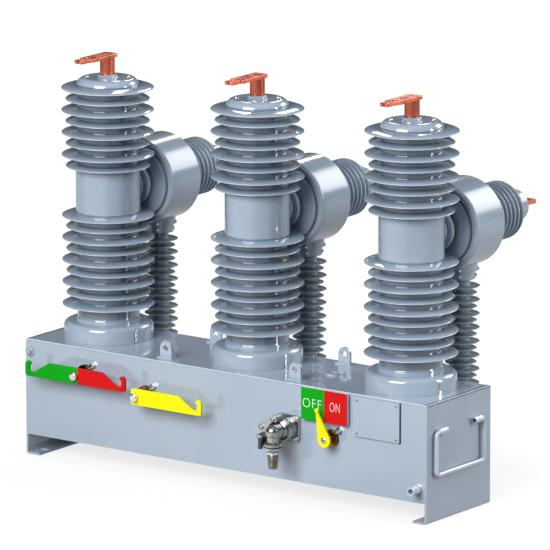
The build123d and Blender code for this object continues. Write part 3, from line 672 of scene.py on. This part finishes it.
# Transformer group behind each pole, turned about an axis along +Y
rear = {
    "axis": 493,
    "discStart": 86,
    "drumStart": 90,
    "drumLength": 87,
    "drum": 81,
    "disc": 66,
    "shedTip": 54,
    "shedCore": 42,
    "shedStep": 12.5,
    "shedCount": 8,
    "shed": (4.2, 3.6, 2.1),
    "groove": (66.5, 70, 7),
    "cap": 30,
    "capLength": 47,
}


def buildRear(phase, x):
    y, z = poleY, rear["axis"]
    start, end = rear["drumStart"], rear["drumStart"] + rear["drumLength"]
    spot = (x, y, z)
    disc, low = rear["disc"], rear["discStart"]
    neck = [(0, 56), (26, 56), (26, 60.5), (31, 60.5), (32, 61.5), (32, 65), (31, 66), (26, 66)]
    neck += [(26, 69), (39, 69), (40, 70), (40, 77), (39, 78), (27, 78), (26, 79), (26, 85), (27, low)]
    neck += [(disc - 1, low), (disc, low + 1), (disc, start), (22, start), (0, start)]
    neckPiece = lathe("neck_" + phase, neck, "drum", spot, "Y", 96)
    settle(neckPiece, "tank", ["neck_" + phase])
    r = rear["drum"]
    near, far, deep = rear["groove"]
    drum = [(22, start), (near, start), (near, start + deep), (far, start + deep), (far, start), (74, start)]
    drum += [(r - 5, start), (r - 3.6, start + 0.4), (r - 0.4, start + 4.6), (r, start + 6), (r, end - 1.8)]
    drum += [(r - 0.5, end - 0.5), (r - 2, end), (22, end)]
    drumPiece = lathe("transformer_" + phase, drum, "drum", spot, "Y", 160)
    settle(drumPiece, "tank", ["transformer_" + phase])
    sheds = end + 6 + rear["shedCount"] * rear["shedStep"]
    capEnd = sheds + rear["capLength"]
    core = [(0, end), (rear["shedCore"], end), (rear["shedCore"], sheds - 3), (rear["cap"], sheds + 2)]
    core += [(rear["cap"], capEnd - 2.5), (29.2, capEnd - 0.8), (27.5, capEnd), (11, capEnd), (0, capEnd)]
    body = lathe("rearBody", core, "drum", spot, "Y", 96)
    ring = shedRing("rearShed", rear["shedCore"], rear["shedTip"], *rear["shed"], "drum", 72)
    row = repeat(ring, rowGroup, rear["shedCount"], (0, 0, rear["shedStep"] * mm), "drum")
    moved(row, x, y + end + 6 + rear["shedStep"] / 2, z, facing("Y", 0, 0, 0))
    settle(merge("rearBushing_" + phase, [body, row]), "tank", ["rear_bushing_" + phase])


for phase, x in phases.items():
    buildRear(phase, x)
print("transformers")

post = {
    "y": 165,
    "core": 16.5,
    "tips": (34, 29),
    "step": 12.8,
    "count": 15,
    "shed": (3.5, 2.5, 0.9),
    "first": 14,
    "top": 388.5,
    "foot": 180,
}


def buildPost(phase, x):
    top, foot = post["top"], post["foot"]
    y, core, step, count = post["y"], post["core"], post["step"], post["count"]
    profile = [(0, top), (20.5, top), (20.5, top - 1), (core, top - 4), (core, foot + 9), (17, foot + 8)]
    profile += [(25.5, foot + 8), (26, foot + 7.5), (26, foot), (0, foot)]
    body = lathe("postBody", profile, "post", (x, y, 0), "Z", 64)
    start = top - post["first"]
    stacks = shedStack("postShed", core, post["tips"], start, step, count, post["shed"], "post", x, y, 48)
    settle(merge("post_" + phase, [body] + stacks), "tank", ["post_" + phase])


for phase, x in phases.items():
    buildPost(phase, x)

# each holder has screws at two turns, in its cup and above it: reach from the axis and level over the post
holder = {
    "turns": (20, -62),
    "screws": ((26, 7), (30, 19)),
    "head": [(0, -1), (3.2, -1), (3.2, 1.6), (2.4, 3), (0, 3.4)],
}


def buildHolderScrews():
    screws = []
    for x in phases.values():
        for turn in holder["turns"]:
            for reach, level in holder["screws"]:
                head = lathe("holderScrew", holder["head"], "steel", (0, 0, 0), "X", 20)
                place = Matrix.Rotation(math.radians(turn), 4, "Z") @ Matrix.Translation((reach * mm, 0, 0))
                screws.append(moved(head, x, post["y"], post["top"] + level, place))
    return settle(merge("holderScrews", screws), "tank", ())


buildHolderScrews()
print("posts")

# Levers and their shafts
lever = {
    "standoff": 30,
    "thick": 5,
    "half": 15,
    "trip": (-309.5, 173),
    "tripReach": 115,
    "charge": (-171, 153),
    "chargeReach": 149,
    "hookSlope": 54,
    "hexRadius": 8.5,
    "hexHeight": 9,
}
boreRadius = 4.05


def hookLoop(reach, side, start, startRound):
    h = lever["half"]
    points = [(start, -h), (reach, -h), (reach, h - 1.5), (reach - 13, h - 1.5), (reach - 12, h - 8.5)]
    points += [(reach - 8.8, h - 9), (reach - 9, -h + 9), (reach - 19, -h + 8.5)]
    points += [(reach - lever["hookSlope"], h), (start, h)]
    radii = [startRound, 5, 6, 4.5, 1.5, 1.5, 5, 5, 3, startRound]
    loop = roundLoop([(side * px, pz) for px, pz in points], radii)
    return loop if side > 0 else loop[::-1]


def buildLever(name, node, at, reach, side, start, startRound, material, body):
    place = facing("-Y", at[0], panelY - lever["standoff"], at[1])
    loops = [hookLoop(reach, side, start, startRound)]
    if side > 0 and start < 0:
        loops.append(ringLoop(0, 0, boreRadius))
    plate = sheetOf(name, loops, lever["thick"], material, place, 0.5)
    return settle(plate, body, [node])


trip, charge = lever["trip"], lever["charge"]
reach = lever["tripReach"]
buildLever("openLever", "open_lever", trip, reach, -1, -6, 0, "green", "trip_lever")
buildLever("closeLever", "close_lever", trip, reach, 1, 6, 0, "red", "trip_lever")
reach = lever["chargeReach"]
buildLever("chargeLever", "charge_lever", charge, reach, 1, -10, 4, "yellow", "charge_lever")


def hexHead(at):
    x, y, z = at[0], panelY - lever["standoff"] - lever["thick"], at[1]
    radius, height = lever["hexRadius"], lever["hexHeight"]
    hexagon = arc(0, 0, radius, 12, 312, 5)
    head = sheetOf("hexHead", [hexagon], height * 0.8, "steel", facing("-Y", x, y, z), 0.8)
    crown = [(0, 0), (radius * 0.84, 0), (radius * 0.78, height * 0.9), (radius * 0.6, height), (0, height)]
    return [head, lathe("crown", crown, "steel", (x, y, z), "-Y", 32)]


def crossHead(at, y, radius, height):
    x, z = at
    dome = [(0, 0), (radius, 0), (radius * 0.96, height * 0.5), (radius * 0.7, height * 0.9), (0, height)]
    pieces = [lathe("screwDome", dome, "steel", (x, y, z), "-Y", 32)]
    for turn in (20, 110):
        bar = rectangle(radius * 1.25, radius * 0.24)
        slot = sheetOf("slot", [bar], 0.3, "hole", Matrix.Identity(4), 0.05)
        lie = facing("-Y", 0, 0, 0) @ Matrix.Rotation(math.radians(turn), 4, "Z")
        pieces.append(moved(slot, x, y - height + 0.05, z, lie))
    return pieces


shaft = {"radius": 6, "inside": 33, "shank": 4, "collar": 15.5, "collarLength": 5.5, "collarStart": 7.5}


def buildShaft(name, at, standoff, thick, head, node, body):
    x, z = at
    y = panelY - standoff
    rod = lathe("rod", hoop(0, shaft["radius"], 0, standoff + shaft["inside"]), "steel", (x, y, z), "Y", 48)
    neck = lathe("shank", hoop(0, shaft["shank"], 0, thick), "steel", (x, y, z), "-Y", 32)
    profile = hoop(0, shaft["collar"], 0, shaft["collarLength"])
    collar = lathe("collar", profile, "steel", (x, panelY + shaft["collarStart"], z), "Y", 48)
    return settle(merge(name, head + [rod, neck, collar]), body, [node])


pointer = {
    "at": (244, 130.5),
    "reach": 55,
    "lean": 17.5,
    "hub": 13.5,
    "neck": 1.75,
    "ball": 4,
    "standoff": 22,
    "thick": 4,
    "head": (5.75, 2.5),
}
standoff, thick = lever["standoff"], lever["thick"]
buildShaft("tripShaft", trip, standoff, thick, hexHead(trip), "trip_shaft", "trip_lever")
buildShaft("chargeShaft", charge, standoff, thick, hexHead(charge), "charge_shaft", "charge_lever")
at, standoff, thick = pointer["at"], pointer["standoff"], pointer["thick"]
head = crossHead(at, panelY - standoff - thick, *pointer["head"])
buildShaft("pointerShaft", at, standoff, thick, head, "pointer_shaft", "pointer")


def buildPointer():
    lean = math.radians(pointer["lean"])
    hub, neck, reach = pointer["hub"], pointer["neck"], pointer["reach"]
    tip = Vector((-math.sin(lean), math.cos(lean))) * reach
    spread = math.degrees(math.acos((hub - neck) / reach))
    axis = 90 + pointer["lean"]
    loop = arc(0, 0, hub, axis + spread, axis + 360 - spread, 28)
    loop += arc(tip.x, tip.y, pointer["ball"], axis - 150, axis + 150, 20)
    x, y, z = pointer["at"][0], panelY - pointer["standoff"], pointer["at"][1]
    loops = [loop, ringLoop(0, 0, boreRadius)]
    blade = sheetOf("blade", loops, pointer["thick"], "yellow", facing("-Y", x, y, z), 0.5)
    spot = (x + tip.x, y - pointer["thick"], z + tip.y)
    dot = lathe("dot", [(0, 0), (2.4, 0), (2.1, 0.5), (0, 0.8)], "paleYellow", spot, "-Y", 24)
    return settle(merge("pointer", [blade, dot]), "pointer", ["pointer"])


buildPointer()
shafts = [trip, charge, pointer["at"]]
pin = {"radius": 3.4, "head": 5.2, "shank": 6, "headLength": 6, "reach": 15, "level": 4.5, "turn": 45}


def buildBushings():
    profile = [(6.05, 0), (11.4, 0), (11.4, 3), (14.9, 3), (15.5, 3.6), (15.5, 6.5), (13.6, 7)]
    profile += [(13.6, 8.4), (15.5, 8.9), (15.5, 11.4), (14.9, 12), (6.05, 12)]
    discs = [lathe("disc", profile, "gold", (x, panelY + 3, z), "-Y", 64) for x, z in shafts]
    return settle(merge("shaftBushings", discs), "tank", ["shaft_bushings"])


def buildPins():
    pins = []
    way = math.radians(pin["turn"])
    lie = Matrix.Rotation(math.pi / 2 - way, 4, "Y")
    r, h, s, e = pin["radius"], pin["head"], pin["shank"], pin["shank"] + pin["headLength"]
    profile = [(0, 0.2), (r, 0.2), (r, s), (h - 0.6, s), (h, s + 0.6), (h, e - 1), (h - 1, e), (1.6, e)]
    profile += [(1.4, e - 1), (0, e - 1)]
    for x, z in shafts:
        body = lathe("pin", profile, "steel", (0, 0, 0), "Z", 28)
        spot = (x + pin["reach"] * math.cos(way), panelY - pin["level"], z + pin["reach"] * math.sin(way))
        pins.append(moved(body, *spot, lie))
    return settle(merge("greasePins", pins), "tank", ["grease_pins"])


buildBushings()
buildPins()

# Plates on the panel
sign = {
    "x": 232.5,
    "z": 188,
    "w": 101,
    "h": 59,
    "depth": 9,
    "face": 6.6,
    "skin": 0.6,
    "halves": ((-1, "green"), (1, "red")),
    "textHeight": 18.5,
    # side, narrowing and shift of each word
    "words": {"OFF": (-1, 0.91, -1, 0.8), "ON": (1, 0.58, -1.3, 0)},
}


def lettering(name, word, height, narrow, x, y, z):
    text = bpy.data.curves.new(name, "FONT")
    text.body = word
    text.size = height / 0.73 * mm
    text.align_x = "CENTER"
    text.align_y = "CENTER"
    text.space_character = 1.12
    text.offset = -0.6 * mm
    text.extrude = 0.1 * mm
    mesh = meshOf(name, text)
    mesh.transform(facing("-Y", x, y, z) @ Matrix.Diagonal((narrow, 1, 1, 1)))
    return link(name, mesh, "lettering")


def buildSign():
    x, z, w, h = sign["x"], sign["z"], sign["w"], sign["h"]
    face, skin, front = sign["face"], sign["skin"], panelY - sign["depth"]
    pad, rim, half = rectangle(w - 2, h - 2, 2), rectangle(w, h, 1.5), rectangle(w / 2, h, 0.6)
    place = facing("-Y", x, panelY, z)
    # a dark pad under the rim, set in from its edge, is a painted shadow round the sign
    pieces = [sheetOf("signShadowPad", [pad], sign["depth"] - face, "shadowPad", place, 0.3)]
    place = facing("-Y", x, front + face, z)
    pieces.append(sheetOf("signRim", [rim], face - skin, "paleRimAndPaintedHighlight", place, 0.5))
    for side, colour in sign["halves"]:
        place = facing("-Y", x + side * w / 4, front + skin, z)
        pieces.append(sheetOf("signHalf", [half], skin, colour, place, 0.15))
    for word, (side, narrow, dx, dz) in sign["words"].items():
        spot = (x + side * w / 4 + dx, front - 0.05, z + dz)
        pieces.append(lettering("word", word, sign["textHeight"], narrow, *spot))
    return settle(merge("positionSign", pieces), "tank", ["position_sign"])


buildSign()

# Connector: flange, knurled ring, ball elbow, clamp screws, ribbed stub
plug = {
    "x": 152,
    "z": 138,
    "square": 46,
    "flange": 7,
    "ring": 21,
    "ringStart": 7.5,
    "ridges": 56,
    "bore": 14,
    "length": 18,
    "inside": 19.5,
    "reach": 53,
    "ball": 13.8,
    "nut": 10.8,
    "nutDrop": 41,
    "stubDrop": 67,
}
elbowY = panelY - plug["reach"]


def buildSocket():
    x, z, s = plug["x"], plug["z"], plug["square"]
    face, bore = panelY - plug["flange"], plug["bore"]
    place = facing("-Y", x, panelY, z)
    flange = sheetOf("flange", [rectangle(s, s, 3)], plug["flange"], "nickel", place, 0.7)
    core = lathe("barrel", hoop(0, bore, 0, plug["length"]), "nickel", (x, face, z), "-Y", 48)
    tail = lathe("tail", hoop(0, bore, 0, plug["inside"]), "nickel", (x, panelY, z), "Y", 48)
    line = lathe("seat", hoop(18, 19.6, 0, 0.5), "hole", (x, face - 0.1, z), "-Y", 64)
    return settle(merge("socket", [flange, core, tail, line]), "tank", ["connector_socket"])


def buildCoupling():
    b, low, high = plug["bore"] + 0.05, plug["ring"] - 2, plug["ring"] - 0.6
    x, y, z, count = plug["x"], panelY - plug["ringStart"], plug["z"], plug["ridges"]
    profile = [(b, 0), (low, 0), (high, 1.2), (high, 4.6), (low, 5.2), (low, 6.2), (high, 6.8), (high, 10.6)]
    profile += [(low, 11.2), (low, 12.2), (high, 12.8), (high, 15.2), (low - 0.4, 17), (b, 17)]
    pieces = [lathe("ringBody", profile, "nickel", (x, y, z), "-Y", 96)]
    for start, width in ((1.3, 3.2), (7, 3.4), (13, 2.1)):
        ridge = sheetOf("ridge", [rectangle(1.0, 1.2)], width, "nickel", facing("Z", 0, high + 0.1, 0), 0.2)
        ridges = repeat(ridge, ringGroup, count, (0, 0, 2 * math.pi / count), "nickel")
        pieces.append(moved(ridges, x, y - start, z, facing("-Y", 0, 0, 0)))
    return settle(merge("couplingRing", pieces), "coupling_ring", ["coupling_ring"])


def buildElbow():
    x, z, r = plug["x"], plug["z"], plug["ball"]
    start, y = panelY - plug["flange"] - plug["length"], elbowY
    reach = start - y
    arm = [(0, 0), (16.2, 0), (17, 0.8), (17, 9.2), (16.2, 10), (14.8, 10.5), (13.8, 11.6), (r, 12.2)]
    arm += [(r, reach), (0, reach)]
    pieces = [lathe("arm", arm, "nickel", (x, start, z), "-Y", 64)]
    pieces.append(lathe("ball", arc(0, 0, r, -90, 90, 24), "nickel", (x, y, z), "Z", 64))
    neck = [(0, 0), (11, 0), (11, -18), (12, -19), (14.2, -19.2), (16.4, -21.8), (16.5, -25), (15.8, -25.6)]
    neck += [(15.8, -26.8), (16.5, -27.4), (16.3, -30.4), (13.8, -33.8), (11.2, -34), (10.4, -34.8)]
    neck += [(10.4, -36.4), (0, -36.4)]
    pieces.append(lathe("elbowNeck", neck, "nickel", (x, y, z), "Z", 64))
    # dark lines where the parts of the body meet: radius and distance along
    for radius, level in ((14.4, -18.9), (16.6, -26.2), (10.5, -35.6)):
        ring = hoop(radius - 0.7, radius, level - 0.5, level + 0.5)
        pieces.append(lathe("neckLine", ring, "hole", (x, y, z), "Z", 64))
    for radius, way in ((17.15, 0.2), (17.15, 9.6), (13.95, 12.6)):
        ring = hoop(radius - 0.7, radius, way - 0.45, way + 0.45)
        pieces.append(lathe("armLine", ring, "hole", (x, start, z), "-Y", 64))
    nut = arc(0, 0, plug["nut"], 0, 300, 5)
    pieces.append(sheetOf("nut", [nut], 5, "steel", facing("Z", x, y, z - plug["nutDrop"]), 0.7))
    return settle(merge("elbow", pieces), "tank", ["elbow_body"])


def buildStub():
    top, foot = plug["z"] - plug["nutDrop"], plug["z"] - plug["stubDrop"]
    profile = [(6, top - 8), (0, top - 8), (0, top), (10.0, top), (10.4, top - 0.6)]
    for n in range(7):
        level = top - 2.2 - n * 3.1
        wide = 10.4 - n * 0.28
        profile += [(wide, level + 0.8), (wide - 0.7, level), (wide - 0.1, level - 0.8)]
    profile += [(8.4, foot + 1), (7.8, foot), (6, foot)]
    stub = lathe("stub", profile, "stubMetal", (plug["x"], elbowY, 0), "Z", 48)
    return settle(stub, "tank", ["cable_stub"])


saddle = {
    "face": 45.5,
    "screws": ((-6, 20), (-31, 3)),
    "head": 4.5,
    "hanger": (-28.5, -13),
    "half": 6.5,
    "drop": 22,
}


def buildClampScrews():
    # two slotted heads on the saddle and the long dark screw under its shelf
    x, y, z = plug["x"], panelY - saddle["face"], plug["z"]
    r, wide, drop = saddle["head"], saddle["half"], -saddle["drop"]
    dome = [(0, 0), (r, 0), (r, 1.4), (r * 0.86, 2.8), (r * 0.5, 3.8), (0, 4)]
    screws = []
    for dx, dz in saddle["screws"]:
        screws.append(lathe("clampScrew", dome, "nickel", (x + dx, y, z + dz), "-Y", 28))
        place = facing("-Y", x + dx, y - 3.85, z + dz)
        screws.append(sheetOf("slot", [rectangle(r * 1.3, 1)], 0.3, "hole", place, 0.05))
    dx, dz = saddle["hanger"]
    long = [(0, 0), (wide - 0.3, 0), (wide, -0.3), (wide, -1.7), (wide - 0.3, -2), (r, -2)]
    long += [(r, drop + 0.8), (r - 0.8, drop), (0, drop)]
    screws.append(lathe("hanger", long, "darkSteel", (x + dx, y - wide, z + dz), "Z", 28))
    return settle(merge("clampScrews", screws), "tank", ["clamp_screws"])


buildSocket()
buildCoupling()
buildElbow()
buildStub()
buildClampScrews()
print("front fittings")

# Handles: round bar in two short sleeves at each end
grip = {
    "y": -3.5,
    "half": 73.5,
    "z": 165,
    "drop": 78,
    "rod": 4.2,
    "gap": 43,
    "sleeve": 23,
    "outer": 6,
    "recess": 9,
    "bend": 7,
}


def bend(points, radius, steps=8):
    # rounds the corners of an open path
    path = [points[0]]
    for before, here, after in zip(points, points[1:], points[2:]):
        p = Vector(here)
        a, b = (Vector(before) - p).normalized(), (Vector(after) - p).normalized()
        middle = p + (a + b) * radius
        for step in range(steps + 1):
            t = math.pi / 2 * step / steps
            path.append(tuple(middle - b * radius * math.cos(t) - a * radius * math.sin(t)))
    return path + [points[-1]]


def buildHandle(side, body, node):
    x = side * (tankEnd + grip["outer"])
    y, half, high, low = grip["y"], grip["half"], grip["z"], grip["z"] - grip["drop"]
    inner = grip["gap"] + grip["recess"]
    ways = ((-inner, high), (-half, high), (-half, low), (half, low), (half, high), (inner, high))
    path = bend([(x, y + away, z) for away, z in ways], grip["bend"])
    # the bar wears the lighter copy of the tank paint, painted light
    rod = tube("bail", path, grip["rod"], "litTankPaint", 24)
    return settle(rod, body, [node])


def buildSleeves():
    tubes = []
    long, r, b, z = grip["sleeve"], grip["outer"], grip["rod"] + 0.05, grip["z"]
    profile = [(b, 0), (r - 0.4, 0), (r, 0.4), (r, long - 0.4), (r - 0.4, long), (b, long)]
    for side, axis in ((-1, "-X"), (1, "X")):
        x = side * (tankEnd + r)
        for way in (-1, 1):
            middle = grip["y"] + way * (grip["gap"] + long / 2)
            tubes.append(lathe("sleeve", profile, "litTankPaint", (x, middle - long / 2, z), "Y", 40))
            place = facing(axis, side * tankEnd, middle, z)
            tubes.append(sheetOf("web", [rectangle(long, r)], r * 0.45, "tankPaint", place, 0.3))
            # a dark disc a little inside the open end of each sleeve is painted shade in its mouth
            inner = middle - way * (long / 2 - 3)
            tubes.append(lathe("dark", hoop(0, b - 0.1, -0.2, 0.2), "hole", (x, inner, z), "Y", 24))
    return settle(merge("sleeves", tubes), "tank", ["handle_sleeves"])


buildHandle(-1, "left_handle", "left_handle")
buildHandle(1, "right_handle", "right_handle")
buildSleeves()

# Earth boss, stud, screws and rivets
small = {
    "boss": (432.5, 64),
    "stud": (-440, 195),
    "tag": (344, 178.5, 98, 73),
    "tagThick": 4,
    "rivetInset": 6,
    "flangeScrew": 18.5,
}


def fourCorners(x, z, wide, high):
    return [(x + sx * wide, z + sz * high) for sx in (-1, 1) for sz in (-1, 1)]


def buildEarthBoss():
    x, z = small["boss"]
    wall = [(5, 2), (5, 24.5), (5.4, 25), (7.6, 25), (8, 24.6), (8, 0.8), (9.2, 0), (0, 0), (0, 2)]
    boss = lathe("earthBoss", wall, "litTankPaint", (x, panelY, z), "-Y", 40)
    dark = lathe("bore", hoop(0, 4.95, 2.05, 2.3), "hole", (x, panelY, z), "-Y", 32)
    return settle(merge("earthBoss", [boss, dark]), "tank", ["earth_boss"])


def buildEarthStud():
    x, z = small["stud"]
    head = [(0, 0), (9.5, 0), (9.5, 1.8), (8.8, 2.5), (6, 2.5), (5.5, 3), (5.5, 5.8), (4.2, 7.2)]
    stud = lathe("earthStud", head + [(2, 7.5), (0, 7.5)], "ring", (x, panelY, z), "-Y", 40)
    return settle(stud, "tank", ["earth_stud"])


def buildRivets():
    x, z, w, h = small["tag"]
    face, inset = panelY - small["tagThick"], small["rivetInset"]
    head = [(0, 0), (3, 0), (2.7, 0.9), (1.6, 1.5), (0, 1.5)]
    rivets = []
    for px, pz in fourCorners(x, z, w / 2 - inset, h / 2 - inset):
        rivets.append(lathe("rivet", head, "plate", (px, face, pz), "-Y", 24))
        rivets.append(lathe("dimple", hoop(0, 1.3, 0, 0.2), "hole", (px, face - 1.45, pz), "-Y", 16))
    return settle(merge("rivets", rivets), "tank", ["nameplate_rivets"])


def buildFlangeScrews():
    head = [(0, 0), (2.5, 0), (2.3, 1.5), (1.4, 2), (0, 2)]
    away, face = small["flangeScrew"], panelY - plug["flange"]
    spots = fourCorners(plug["x"], plug["z"], away, away)
    screws = [lathe("flangeScrew", head, "steel", (px, face, pz), "-Y", 20) for px, pz in spots]
    return settle(merge("flangeScrews", screws), "tank", ["connector_screws"])


buildEarthBoss()
buildEarthStud()
buildRivets()
buildFlangeScrews()

seams = {
    "front": -99.3,
    "top": 217.3,
    "end": 449.3,
    "foot": 4,
    "joint": 445.4,
    "bead": 0.9,
    "slit": 2.4,
    "groove": 1.3,
    "shadow": 1.5,
}


def buildSeams():
    # pale beads on the folded edges of the sheet that are painted highlights, dark joints beside them, and a
    # dark sheet just round the blank plate that is a painted shadow
    y, z, x, r = seams["front"], seams["top"], seams["end"], seams["bead"]
    lines = [tube("frontEdgeHighlight", [(-x, y, z), (x, y, z)], r, "paleRimAndPaintedHighlight", 10)]
    for side, axis in ((-1, "-X"), (1, "X")):
        lines.append(tube("endEdgeHighlight", [(side * x, y, z), (side * x, -y, z)], r, "paleRimAndPaintedHighlight", 10))
        corner = [(side * x, y, z), (side * x, y, seams["foot"])]
        lines.append(tube("cornerEdgeHighlight", corner, r * 0.8, "paleRimAndPaintedHighlight", 10))
        place = facing("Z", side * seams["joint"], 0, tankTop)
        lines.append(sheetOf("slit", [rectangle(seams["slit"], -2 * y)], 0.25, "hole", place, 0.05))
        place = facing(axis, side * tankEnd, 0, z - 1.6)
        lines.append(sheetOf("groove", [rectangle(-2 * y, seams["groove"])], 0.15, "hole", place, 0.05))
    x, z, w, h = small["tag"]
    wide = seams["shadow"]
    place = facing("-Y", x + wide / 2, panelY, z - wide / 2)
    # a dark sheet showing at the right and the foot of the blank plate, a painted shadow
    lines.append(sheetOf("tagShadow", [rectangle(w + wide, h + wide, 1)], 0.4, "hole", place, 0.05))
    return settle(merge("seams", lines), "tank")


buildSeams()
print("small fittings")

# CAD nodes that stay: finer finishes
kept = {
    "tankPaint": [
        "tank_wrap",
        "left_end",
        "right_end",
        "tank_floor",
        "front_lugs",
        "rear_lifting_lugs",
        "filler_plug",
        "rear_brackets",
    ],
    "copper": ["rear_lugs", "contact_collectors"],
    "steel": ["bracket_screws"],
    "plate": ["nameplate"],
    "drum": ["post_holders"],
    "nickel": ["cable_clamp"],
    "darkSteel": ["cross_shaft", "shaft_bearings"],
    "ceramic": ["vacuum_bottles"],
    "rodResin": ["drive_rods"],
}
for material, names in kept.items():
    for name in names:
        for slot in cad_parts[name].material_slots:
            slot.link = "OBJECT"
            slot.material = materials[material]
print("kept nodes", sum(len(names) for names in kept.values()))

# Stage: pale floor, soft boxes, white surround
stageValues = {
    "floorShade": 0.8,
    "floorBounce": 0.13,
    "floorLift": 0.7,
    "floorClear": 0.9,
    "mirrorLift": 0.5,
    "glossGlowBand": 0.5,
    "worldLow": 0.05,
    "worldHigh": 0.26,
    "worldColour": (0.80, 0.92, 1.0),
    "glow": 1.1,
    "aim": (0, 0.05, 0.38),
}
# azimuth and elevation in degrees, then distance, width and height in metres, power in watts
lamps = {
    "keyBox": (1, 29, 4.8, 3.2, 2.6, 294),
    "rimBox": (159, 26, 5, 2.6, 2.2, 92),
    "sideBox": (110, 17, 3.6, 0.4, 2.0, 64),
    "backLeft": (220.8, 40, 3.0, 0.16, 0.9, 5),
    "backRight": (206.8, 35, 3.0, 0.16, 0.9, 7),
    "topBox": (60, 74, 2.8, 1.8, 1.0, 3),
}


def buildFloor():
    mesh = bpy.data.meshes.new("floor")
    mesh.from_pydata([(-40, -40, 0), (40, -40, 0), (40, 40, 0), (-40, 40, 0)], [], [(0, 1, 2, 3)])
    floor = bpy.data.objects.new("floor", mesh)
    bpy.context.scene.collection.objects.link(floor)
    material = bpy.data.materials.new("paleFloor")
    material.use_nodes = True
    g = Graph(material.node_tree)
    camera = g.add("ShaderNodeLightPath", out="Is Camera Ray")
    mirrored = g.add("ShaderNodeLightPath", out="Is Glossy Ray")
    shade = g.ramp(camera, 0, 1, stageValues["floorBounce"], stageValues["floorShade"])
    shade = shade * g.ramp(g.noise(3, 2), 0.3, 0.7, 0.99, 1.01)
    colour = g.add("ShaderNodeCombineColor", {0: shade, 1: shade, 2: shade})
    paint = {"Base Color": colour, "Roughness": 0.9, "Specular IOR Level": 0.1}
    shader = g.add("ShaderNodeBsdfPrincipled", paint)
    glow = g.add("ShaderNodeEmission", {"Color": (1, 1, 1), "Strength": stageValues["glow"]})
    spot = g.add("ShaderNodeTexCoord", out="Object")
    away = g.add("ShaderNodeVectorMath", {0: spot}, out=1, operation="LENGTH")
    lift = g.ramp(away, 0.45, stageValues["floorClear"], stageValues["floorLift"], 1)
    # the front of the floor glows brighter, seen only in gloss: a painted glow that lays highlights on the
    # poles
    side = g.add("ShaderNodeSeparateXYZ", {"Vector": spot})
    depth = g.add("ShaderNodeSeparateXYZ", {"Vector": spot}, out=1)
    turn = g.maths("ARCTAN2", side, depth * -1)
    frontGlowBand = g.ramp(turn, -1.15, -0.85, 0, 1) * g.ramp(turn, 0.30, 0.55, 1, 0)
    mirrored = mirrored * (frontGlowBand * stageValues["glossGlowBand"] + stageValues["mirrorLift"])
    shader = g.add("ShaderNodeMixShader", {0: camera * lift + mirrored, 1: shader, 2: glow})
    g.add("ShaderNodeOutputMaterial", {"Surface": shader})
    mesh.materials.append(material)
    return floor


def stand(thing, azimuth, elevation, distance, aim):
    # azimuth 0 lies in front of the panel, 90 at its right end; the thing looks back at aim
    a, e = math.radians(azimuth), math.radians(elevation)
    way = Vector((math.sin(a) * math.cos(e), -math.cos(a) * math.cos(e), math.sin(e)))
    thing.location = Vector(aim) + way * distance
    thing.rotation_mode = "QUATERNION"
    thing.rotation_quaternion = (-way).to_track_quat("-Z", "Y")
    bpy.context.scene.collection.objects.link(thing)
    return thing


def softBox(name, azimuth, elevation, distance, width, height, power):
    lamp = bpy.data.lights.new(name, "AREA")
    lamp.shape = "RECTANGLE"
    lamp.size, lamp.size_y = width, height
    lamp.energy = power
    box = bpy.data.objects.new(name, lamp)
    box.visible_camera = False
    return stand(box, azimuth, elevation, distance, stageValues["aim"])


def buildWorld():
    # a room that grows brighter upwards, plain white where the camera looks past the object
    world = bpy.data.worlds.new("studio")
    bpy.context.scene.world = world
    world.use_nodes = True
    g = Graph(world.node_tree)
    seen = g.add("ShaderNodeLightPath", out="Is Camera Ray")
    up = g.add("ShaderNodeSeparateXYZ", {"Vector": g.add("ShaderNodeTexCoord", out="Generated")}, out=2)
    level = g.ramp(up, 0.0, 0.8, stageValues["worldLow"], stageValues["worldHigh"])
    room = g.add("ShaderNodeBackground", {"Color": stageValues["worldColour"], "Strength": level})
    white = g.add("ShaderNodeBackground", {"Color": (1, 1, 1), "Strength": 1.0})
    mix = g.add("ShaderNodeMixShader", {0: seen, 1: room, 2: white})
    g.add("ShaderNodeOutputWorld", {"Surface": mix})


floor = buildFloor()
boxes = [softBox(name, *values) for name, values in lamps.items()]
buildWorld()

# Camera
cameraValues = {
    "azimuth": 36.07,
    "elevation": 12.58,
    "distance": 12.649,
    "framePixels": 550,
    "focalPixels": 7000,
    "aim": (0.0451, 0, 0.3844),
}


def buildCamera():
    lens = bpy.data.cameras.new("camera")
    lens.sensor_width = 36
    lens.lens = cameraValues["focalPixels"] / cameraValues["framePixels"] * lens.sensor_width
    lens.clip_end = 200
    eye = bpy.data.objects.new("camera", lens)
    place = [cameraValues[key] for key in ("azimuth", "elevation", "distance", "aim")]
    bpy.context.scene.camera = stand(eye, *place)
    bpy.context.scene.view_settings.view_transform = "Standard"


buildCamera()
print("stage")
